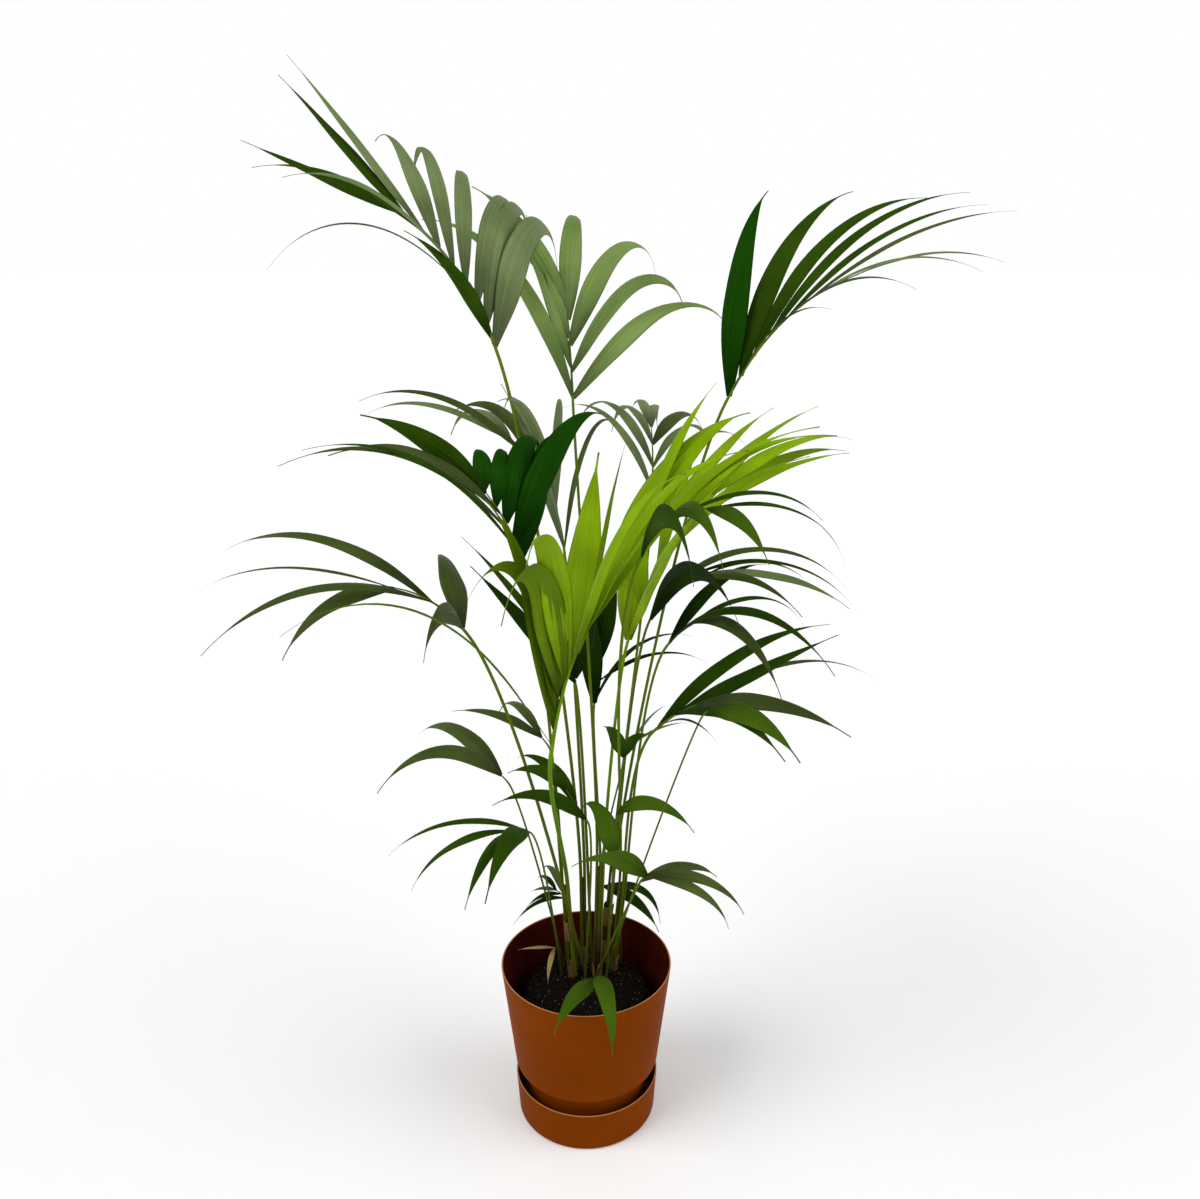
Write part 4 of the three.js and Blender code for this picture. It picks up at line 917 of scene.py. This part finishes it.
def leaflet_line(frond, points, side, number, draw):
    """One leaflet: its line's points, the direction across it and half its width at each."""
    row = frond[side]
    count = len(row["tints"])
    q = number / (count - 1) if count > 1 else 0
    turn = TURNED.get((frond["name"], side, number), 0)
    point, ahead, left, face = rib_station(frond, points, spread(row["span"], q))
    splay = math.radians(spread(row["splay"], q) + turn)
    lift = math.radians(spread(row["lift"], q) + turn)
    outward = left if side == "left" else -left
    out = (ahead * math.cos(splay) + outward * math.sin(splay) * math.cos(lift)
           + face * math.sin(splay) * math.sin(lift))
    heading = math.degrees(math.atan2(out.y, out.x))
    rise = math.degrees(math.asin(max(-1, min(1, out.z))))
    twist = math.radians(spread(row["twist"], q))
    across = Quaternion(out, twist) @ face.cross(out).normalized()
    droop, size, width = (spread(row[key], q) for key in ("droop", "size", "width"))
    sway = draw.uniform(-1, 1)

    line, acrosses, halves = [point], [across], [leaflet_width(0) * width / 2]
    for i in range(LEAFLET_STEPS):
        s = (i + 1) / LEAFLET_STEPS
        bent = rise - droop * ((i + 0.5) / LEAFLET_STEPS) ** row["bend"]
        way = direction(heading + LEAFLET_SWAY * sway * s * s, max(bent, -LEAFLET_STEEPEST))
        line.append(line[-1] + way * size / LEAFLET_STEPS)
        flat = out.rotation_difference(way) @ across
        roll = math.radians(LEAFLET_ROLL * sway * math.sin(LEAFLET_ROLLS * math.pi * s) * s)
        acrosses.append(Quaternion(way, roll) @ flat)
        halves.append(leaflet_width(s) * width / 2)
    return line, acrosses, halves


def blade_tree():
    """Sweeps a folded, pleated blade along each line of a mesh and lays a map on it. Its fold,
    pleats, thickness and waves are shares of half its width."""
    tree, given = group_tree("leaf_blades", [
        ("Fold", "NodeSocketFloat"), ("Pleats", "NodeSocketFloat"),
        ("Pleat Depth", "NodeSocketFloat"), ("Thickness", "NodeSocketFloat"),
        ("Edge Wave", "NodeSocketFloat"), ("Material", "NodeSocketMaterial")])

    known = {title.lower(): given[title]
             for title in ("Fold", "Pleats", "Pleat Depth", "Thickness", "Edge Wave")}
    known["index"] = add_node(tree, "GeometryNodeInputIndex").outputs[0]
    for name, kind in [("place", "FLOAT"), ("along", "FLOAT"), ("half", "FLOAT"),
                       ("phase", "FLOAT"), ("across", "FLOAT_VECTOR"), ("up", "FLOAT_VECTOR")]:
        known[name] = add_node(tree, "GeometryNodeInputNamedAttribute", {"Name": name},
                               data_type=kind).outputs["Attribute"]
    # Each step's name, its operation and what it works on. First the section, a flat lens from
    # 1 to -1 and back, then the roof fold, steeper near the root, the pleats, the slow wave of
    # the edges, and the place across on the map.
    for name, operation, *values in [
            ("turn", "DIVIDE", "index", BLADE_SECTION),
            ("back and forth", "MULTIPLY_ADD", "turn", 2.0, -1.0),
            ("ramped", "ABSOLUTE", "back and forth"),
            ("section place", "MULTIPLY_ADD", "ramped", 2.0, -1.0),
            ("angle", "MULTIPLY", "turn", 2 * math.pi),
            ("bulge", "SINE", "angle"),
            ("half thick", "MULTIPLY", "bulge", "thickness"),
            ("off middle", "ABSOLUTE", "place"),
            ("from edge", "SUBTRACT", 1.0, "off middle"),
            ("from tip", "SUBTRACT", 1.0, "along"),
            ("near root", "POWER", "from tip", ROOT_FOLD_FADE),
            ("steepness", "MULTIPLY_ADD", "near root", ROOT_FOLD, 1.0),
            ("slope", "MULTIPLY", "steepness", "fold"),
            ("roof", "MULTIPLY", "from edge", "slope"),
            ("pleat turn", "MULTIPLY", "place", 2 * math.pi),
            ("pleat angle", "MULTIPLY", "pleat turn", "pleats"),
            ("pleating", "COSINE", "pleat angle"),
            ("pleat", "MULTIPLY", "pleating", "pleat depth"),
            ("lag", "MULTIPLY_ADD", "place", EDGE_LAG, "phase"),
            ("swing angle", "MULTIPLY_ADD", "along", EDGE_WAVES, "lag"),
            ("swing", "SINE", "swing angle"),
            ("near edge", "POWER", "off middle", 2.0),
            ("edge swing", "MULTIPLY", "near edge", "swing"),
            ("edge", "MULTIPLY", "edge swing", "edge wave"),
            ("creased", "ADD", "roof", "pleat"),
            ("rippled", "ADD", "creased", "edge"),
            ("height", "MULTIPLY", "rippled", "half"),
            ("map across", "MULTIPLY_ADD", "place", 0.5, 0.5)]:
        inputs = {i: known[value] if isinstance(value, str) else value
                  for i, value in enumerate(values)}
        step = add_node(tree, "ShaderNodeMath", inputs, operation=operation)
        known[name] = step.outputs[0]

    circle = add_node(tree, "GeometryNodeCurvePrimitiveCircle",
                      {"Resolution": BLADE_SECTION, "Radius": 1.0})
    marked = add_node(tree, "GeometryNodeStoreNamedAttribute",
                      {"Geometry": circle.outputs["Curve"], "Name": "place",
                       "Value": known["section place"]}, data_type="FLOAT", domain="POINT")
    lens_shape = add_node(tree, "ShaderNodeCombineXYZ",
                          {"X": known["place"], "Y": known["half thick"]})
    section = add_node(tree, "GeometryNodeSetPosition",
                       {"Geometry": marked.outputs[0], "Position": lens_shape.outputs[0]})

    line = add_node(tree, "GeometryNodeMeshToCurve", {"Mesh": given["Geometry"]})
    facing = add_node(tree, "GeometryNodeSetCurveNormal",
                      {"Curve": line.outputs[0], "Normal": known["across"]}, mode="FREE")
    swept = add_node(tree, "GeometryNodeCurveToMesh",
                     {"Curve": facing.outputs[0], "Profile Curve": section.outputs[0],
                      "Scale": known["half"], "Fill Caps": True})
    offset = add_node(tree, "ShaderNodeVectorMath", {0: known["up"], "Scale": known["height"]},
                      operation="SCALE")
    shaped = add_node(tree, "GeometryNodeSetPosition",
                      {"Geometry": swept.outputs[0], "Offset": offset.outputs[0]})
    spot = add_node(tree, "ShaderNodeCombineXYZ",
                    {"X": known["map across"], "Y": known["along"]})
    mapped = add_node(tree, "GeometryNodeStoreNamedAttribute",
                      {"Geometry": shaped.outputs[0], "Name": "UVMap", "Value": spot.outputs[0]},
                      data_type="FLOAT2", domain="CORNER")
    smooth = add_node(tree, "GeometryNodeSetShadeSmooth", {"Geometry": mapped.outputs[0]})
    finish_tree(tree, smooth.outputs[0], given["Material"])
    return tree


def leaf_skin(name, colour, vein, gloss, shine):
    """Waxy leaf: veins 1 to 2 mm apart that run along the blade, patches of 7 cm a shade
    apart, a root darkened partly in its own colour and partly by painted shade, and a dry tip."""
    material, tree = new_material(name)
    spot = add_node(tree, "ShaderNodeSeparateXYZ",
                    {0: add_node(tree, "ShaderNodeUVMap", uv_map="UVMap").outputs["UV"]})
    place = add_node(tree, "ShaderNodeTexCoord").outputs["Object"]
    across = add_node(tree, "ShaderNodeMath", {0: spot.outputs["X"], 1: VEINS_ACROSS},
                      operation="MULTIPLY")
    along = add_node(tree, "ShaderNodeMath", {0: spot.outputs["Y"], 1: VEIN_LENGTHS},
                     operation="MULTIPLY")
    lined = add_node(tree, "ShaderNodeCombineXYZ", {"X": across.outputs[0], "Y": along.outputs[0]})
    veins = add_node(tree, "ShaderNodeTexNoise",
                     {"Vector": lined.outputs[0], "Scale": 1.0, "Detail": 2.0})
    cloud = add_node(tree, "ShaderNodeTexNoise", {"Vector": place, "Scale": 1 / (71.4 * MM)})
    both = add_node(tree, "ShaderNodeMath", {0: veins.outputs["Fac"], 1: cloud.outputs["Fac"]},
                    operation="ADD")
    streaked = add_node(tree, "ShaderNodeMapRange",
                        {"Value": both.outputs[0], "From Min": 0.75, "From Max": 1.25})
    base = add_node(tree, "ShaderNodeMix",
                    {"Factor": streaked.outputs["Result"], "A": linear(colour),
                     "B": linear(vein)}, data_type="RGBA")
    # Painted shade, partly the root's own darker colour: the colour falls to 0.4 at the root.
    shade = add_node(tree, "ShaderNodeMapRange",
                     {"Value": spot.outputs["Y"], "From Min": 0.0, "From Max": 0.3,
                      "To Min": 0.4, "To Max": 1.0})
    shaded_root_colour = add_node(tree, "ShaderNodeVectorMath",
                      {0: base.outputs["Result"], "Scale": shade.outputs["Result"]},
                      operation="SCALE")
    drying = add_node(tree, "ShaderNodeMapRange",
                      {"Value": spot.outputs["Y"], "From Min": 0.965, "From Max": 0.995})
    skin = add_node(tree, "ShaderNodeMix",
                    {"Factor": drying.outputs["Result"], "A": shaded_root_colour.outputs["Vector"],
                     "B": linear("#6b5a36")}, data_type="RGBA")
    sheen = add_node(tree, "ShaderNodeMapRange",
                     {"Value": veins.outputs["Fac"], "To Min": gloss - GLOSS_SPREAD,
                      "To Max": gloss + GLOSS_SPREAD})
    relief = add_node(tree, "ShaderNodeBump",
                      {"Height": veins.outputs["Fac"], "Strength": 0.35, "Distance": 0.4 * MM})
    finish_material(tree, {
        "Base Color": skin.outputs["Result"], "Roughness": sheen.outputs["Result"],
        "Specular IOR Level": shine, "Normal": relief.outputs["Normal"]})
    return material


BLADES = blade_tree()
# Tint letters in the fronds' table: material, colour, vein colour, roughness and shine.
LEAF_TINTS = {
    # Painted shade: 'k' is a near-black copy of the leaf for leaflets deep in the crown.
    "k": ("leaf_shade_green", "#132604", "#1d3506", 0.45, 0.01),
    "e": ("leaf_deep_green", "#0f3802", "#1a4806", 0.45, 0.01),
    "d": ("leaf_dark_green", "#223b04", "#314c0a", 0.45, 0.01),
    "m": ("leaf_mid_green", "#33500a", "#466012", 0.45, 0.01),
    "o": ("leaf_olive_green", "#38461a", "#4c5c28", 0.45, 0.06),
    # Painted sheen: 'g' and 's' are grey-green copies of the leaf for leaflets that catch the
    # light.
    "g": ("leaf_grey_green", "#586a3c", "#728452", 0.5, 0.1),
    "s": ("leaf_soft_green", "#5f7a36", "#7c944f", 0.5, 0.12),
    "y": ("leaf_lime_green", "#708f06", "#86ac0a", 0.42, 0.03),
    "z": ("leaf_deep_lime_green", "#4e6802", "#627f03", 0.42, 0.03),
}


def grow_leaflets(prefix, fronds, tints):
    """One piece for each tint of some fronds' leaflets, in the order of the tints."""
    draw = random.Random(LEAFLET_SEED)
    grown = {letter: [] for letter in tints}
    for frond in fronds:
        points = rib_points(frond)
        for side in ("left", "right"):
            for number, letter in enumerate(frond[side]["tints"] if frond[side] else ""):
                grown[letter].append(leaflet_line(frond, points, side, number, draw))
    pieces = {}
    for letter, blades in grown.items():
        if not blades:
            continue
        name, *look = LEAF_TINTS[letter]
        lines = [[point * MM for point in line] for line, _, _ in blades]
        ups = []
        for line, across, _ in blades:
            ways = [b - a for a, b in zip(line, line[1:])]
            ways.append(ways[-1])
            ups.append([way.cross(flat).normalized() for way, flat in zip(ways, across)])
        steps = [i / LEAFLET_STEPS for i in range(LEAFLET_STEPS + 1)]
        mesh = line_mesh(
            name, lines, across=("FLOAT_VECTOR", [across for _, across, _ in blades]),
            up=("FLOAT_VECTOR", ups),
            half=("FLOAT", [[h * MM for h in halves] for _, _, halves in blades]),
            along=("FLOAT", [steps] * len(blades)),
            phase=("FLOAT", [[draw.uniform(*EDGE_START)] * len(steps) for _ in blades]))
        material = bpy.data.materials.get("waxy_" + name) or leaf_skin("waxy_" + name, *look)
        piece = run_tree(prefix + name, mesh, BLADES, fold=0.22, pleats=2.5, pleat_depth=0.035,
                         thickness=0.035, edge_wave=0.05, material=material)
        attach(piece, "root")
        pieces[letter] = piece
    return pieces


def stands_for(pieces, fronds, prefix):
    """Hides each frond's solid from the part file; the leaflet pieces take its place."""
    for frond in fronds:
        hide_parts(prefix + frond["name"])


stands_for(grow_leaflets("", LARGE_FRONDS, "kedmogsyz"), LARGE_FRONDS, "frond_")

# ------------------------------------------------------------------------------------ small leaves
# Young shoots and seedlings' leaves low in the clump: each has a hair-thin stalk of its own that
# rises from the compost or a cane, and only a few leaflets.

SMALL_LEAVES = [
    dict(name="leaf_right_stalk", foot=(26, 22), thick=1.4, base=(137, -170, 701), heading=327,
         rise=62, length=14, arch=54, sweep=2, roll=0,
         left=None,
         right=dict(tints="m", span=0.8, bend=1.5, splay=28, lift=11, droop=54, size=175, twist=40,
                    width=24)),
    dict(name="leaf_low_left", foot=(-33, 52), thick=1.6, base=(-98, -63, 559), heading=189,
         rise=56, length=23, arch=17, sweep=-1, roll=2,
         left=dict(tints="o", span=0.6, bend=1.9, splay=27, lift=7, droop=89, size=220, twist=-45,
                   width=19),
         right=dict(tints="o", span=0.6, bend=1.4, splay=40, lift=4, droop=82, size=180, twist=-65,
                    width=23)),
    dict(name="leaf_low_left_front", foot=(-36, 30), thick=1.6, base=(-69, -102, 510), heading=223,
         rise=34, length=32, arch=25, sweep=-2, roll=2,
         left=dict(tints="dd", span=(0.1, 0.97), bend=1.5, splay=(29, 29), lift=(6, 8),
                   droop=(76, 64), size=(185, 145), twist=(-15, 0), width=(26, 17)),
         right=dict(tints="dd", span=(0.1, 0.97), bend=1.1, splay=(31, 25), lift=(4, 4),
                    droop=(76, 78), size=(190, 155), twist=(-25, -20), width=(13, 13))),
    dict(name="leaf_left_behind", foot=(-30, 64), thick=1.7, base=(-52, 48, 557), heading=150,
         rise=47, length=23, arch=20, sweep=1, roll=12,
         left=dict(tints="o", span=0.6, bend=1.5, splay=39, lift=12, droop=41, size=140, twist=-35,
                   width=14),
         right=dict(tints="o", span=0.6, bend=1.3, splay=28, lift=3, droop=95, size=175, twist=-40,
                    width=15)),
    dict(name="leaf_left_inner", foot=(-2, 12), thick=1.8, base=(3, -14, 474), heading=164, rise=56,
         length=56, arch=1, sweep=0, roll=3,
         left=dict(tints="dd", span=(0.08, 0.97), bend=1.6, splay=(27, 23), lift=(1, 8),
                   droop=(62, 61), size=(165, 110), twist=(-35, -40), width=(20, 18)),
         right=dict(tints="d", span=0.5, bend=1.5, splay=5, lift=2, droop=95, size=130, twist=-40,
                    width=20)),
    dict(name="leaf_right_inner", foot=(28, -2), thick=1.8, base=(37, -71, 450), heading=61,
         rise=88, length=80, arch=26, sweep=1, roll=-14,
         left=dict(tints="m", span=0.07, bend=2.6, splay=13, lift=9, droop=140, size=98, twist=20,
                   width=32),
         right=dict(tints="m", span=0.8, bend=1.1, splay=44, lift=15, droop=102, size=129,
                    twist=-5, width=19)),
    dict(name="leaf_front_right", foot=(10, 8), thick=1.9, base=(70, -123, 451), heading=302,
         rise=57, length=36, arch=46, sweep=0, roll=-14,
         left=dict(tints="ooo", span=(0.05, 0.97), bend=1.4, splay=(52, 44, 40), lift=(14, 0, 6),
                   droop=(80, 84, 82), size=(108, 142, 122), twist=(-20, -55, 40),
                   width=(20, 17, 15)),
         right=dict(tints="m", span=0.6, bend=1.6, splay=58, lift=26, droop=52, size=150, twist=45,
                    width=26)),
    dict(name="leaf_right_back_low", foot=(14, 66), thick=1.7, base=(17, 92, 298), heading=16,
         rise=47, length=14, arch=36, sweep=-4, roll=-5,
         left=dict(tints="k", span=0.7, bend=1.3, splay=48, lift=-49, droop=70, size=180,
                   twist=-60, width=13),
         right=dict(tints="k", span=0.7, bend=1.4, splay=61, lift=4, droop=74, size=120, twist=0,
                    width=20)),
    dict(name="leaf_front_small", foot=(14, -20), thick=1.8, base=(14, -79, 270), heading=269,
         rise=57, length=14, arch=19, sweep=1, roll=10,
         left=dict(tints="m", span=0.7, bend=1.2, splay=10, lift=-15, droop=160, size=145, twist=5,
                   width=24),
         right=dict(tints="m", span=0.7, bend=1.6, splay=50, lift=-30, droop=70, size=100,
                    twist=-50, width=24)),
    dict(name="leaf_left_small", foot=(-12, 44), thick=1.6, base=(-28, 67, 298), heading=160,
         rise=44, length=22, arch=23, sweep=-3, roll=2,
         left=dict(tints="kko", span=(0.15, 0.97), bend=1.4, splay=(51, 48, 28), lift=(7, 9, 11),
                   droop=(72, 75, 63), size=(105, 65, 40), twist=(10, -5), width=8),
         right=dict(tints="ok", span=(0.15, 0.97), bend=1.4, splay=(37, 33), lift=(4, 7),
                    droop=(101, 88), size=(115, 70), twist=(-30, -20), width=(13, 9))),
    dict(name="leaf_upright_small", stem="c", seat=-80, thick=1.7, base=(49, -22, 562), heading=58,
         rise=77, length=19, arch=11, sweep=-2, roll=-19,
         left=dict(tints="d", span=0.6, bend=1.5, splay=38, lift=9, droop=67, size=65, twist=20,
                   width=21),
         right=dict(tints="d", span=0.6, bend=1.6, splay=39, lift=30, droop=55, size=90, twist=35,
                    width=14)),
    dict(name="leaf_right_grey", foot=(50, 62), thick=1.5, base=(55, 40, 551), heading=38, rise=48,
         length=20, arch=22, sweep=-2, roll=-5,
         left=dict(tints="g", span=0.6, bend=1.5, splay=12, lift=11, droop=55, size=100, twist=25,
                   width=4),
         right=dict(tints="g", span=0.6, bend=1.5, splay=38, lift=19, droop=39, size=90, twist=25,
                    width=4)),
]
small_stalks = grow_limbs("small_leaf_stalks", SMALL_LEAVES, STALK_END,
                          green_stalk("waxy_small_stalks", "#3c4414", "#485c18", "#4e661c"))
stands_for(grow_leaflets("small_", SMALL_LEAVES, "kdmog"), SMALL_LEAVES, "")

# ------------------------------------------------------------------------------------ dry leaf
# An old leaf that died and hangs from the left cane: two straw-coloured strips, curled and dull.

WITHERED = dict(
    name="withered_leaf", base=(-30.5, 24.4, 250), heading=215, rise=20, length=20, arch=20,
    sweep=0, roll=0, thick=1.6,
    left=dict(tints="w", span=0.9, bend=0.8, splay=38, lift=0, droop=95, size=56,
              twist=0, width=8),
    right=dict(tints="w", span=0.9, bend=1, splay=40, lift=0, droop=20, size=56,
               twist=0, width=8))
LEAF_TINTS["w"] = ("leaf_dry_straw", "#6a5832", "#ab9866", 0.8, 0.05)
dry_leaf = grow_leaflets("", [WITHERED], "w")["w"]
dry_leaf.data.materials[0].name = "papery_dry_leaf"
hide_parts("withered_leaf")

# ------------------------------------------------------------------------------------ studio
# A plain pale floor, soft lights all round, and a camera that stands a little above the crown
# and looks down on the pot.

IMAGE_WIDTH = 1200
FOCAL_PIXELS = 1123
CAMERA_PITCH = 18.76
# In metres.
CAMERA_PLACE = (0.0195, -1.345, 1.241)
FLOOR_RADIUS = 30

floor = new_object("floor", bpy.data.meshes.new("floor"))
disc = bmesh.new()
bmesh.ops.create_circle(disc, cap_ends=True, segments=96, radius=FLOOR_RADIUS)
disc.to_mesh(floor.data)
disc.free()
pale, tree = new_material("pale_floor")
finish_material(tree, {
    "Base Color": linear("#ffffff"), "Roughness": 1.0, "Specular IOR Level": 0.0})
floor.data.materials.append(pale)

world = bpy.data.worlds.new("studio")
bpy.context.scene.world = world
bpy.context.scene.view_settings.view_transform = "Standard"
world.use_nodes = True
# White walls all round under a dimmer ceiling.
sky = world.node_tree
upward = add_node(sky, "ShaderNodeSeparateXYZ",
                  {0: add_node(sky, "ShaderNodeTexCoord").outputs["Generated"]})
strength = add_node(sky, "ShaderNodeMapRange",
                    {"Value": upward.outputs["Z"], "From Min": 0.25, "From Max": 0.6,
                     "To Min": 1.0, "To Max": 0.35})
sky.nodes["Background"].inputs["Color"].default_value = linear("#ffffff")
sky.links.new(strength.outputs["Result"], sky.nodes["Background"].inputs["Strength"])

# Wide soft lights. Each one's way in from its window, its angle in degrees and its strength.
for name, source, angle, power in [
        ("left_window", (-1.0, -0.5, 1.1), 40, 1.5),
        ("right_window", (1.1, -0.35, 0.9), 50, 1.1)]:
    light = bpy.data.lights.new(name, "SUN")
    light.angle = math.radians(angle)
    light.energy = power
    lamp = bpy.data.objects.new(name, light)
    lamp.rotation_euler = Vector(source).to_track_quat("Z", "Y").to_euler()
    bpy.context.scene.collection.objects.link(lamp)

lens = bpy.data.cameras.new("camera")
lens.sensor_fit = "HORIZONTAL"
lens.angle = 2 * math.atan(IMAGE_WIDTH / 2 / FOCAL_PIXELS)
camera = bpy.data.objects.new("camera", lens)
camera.location = CAMERA_PLACE
camera.rotation_euler = (math.radians(90 - CAMERA_PITCH), 0, 0)
bpy.context.scene.collection.objects.link(camera)
bpy.context.scene.camera = camera
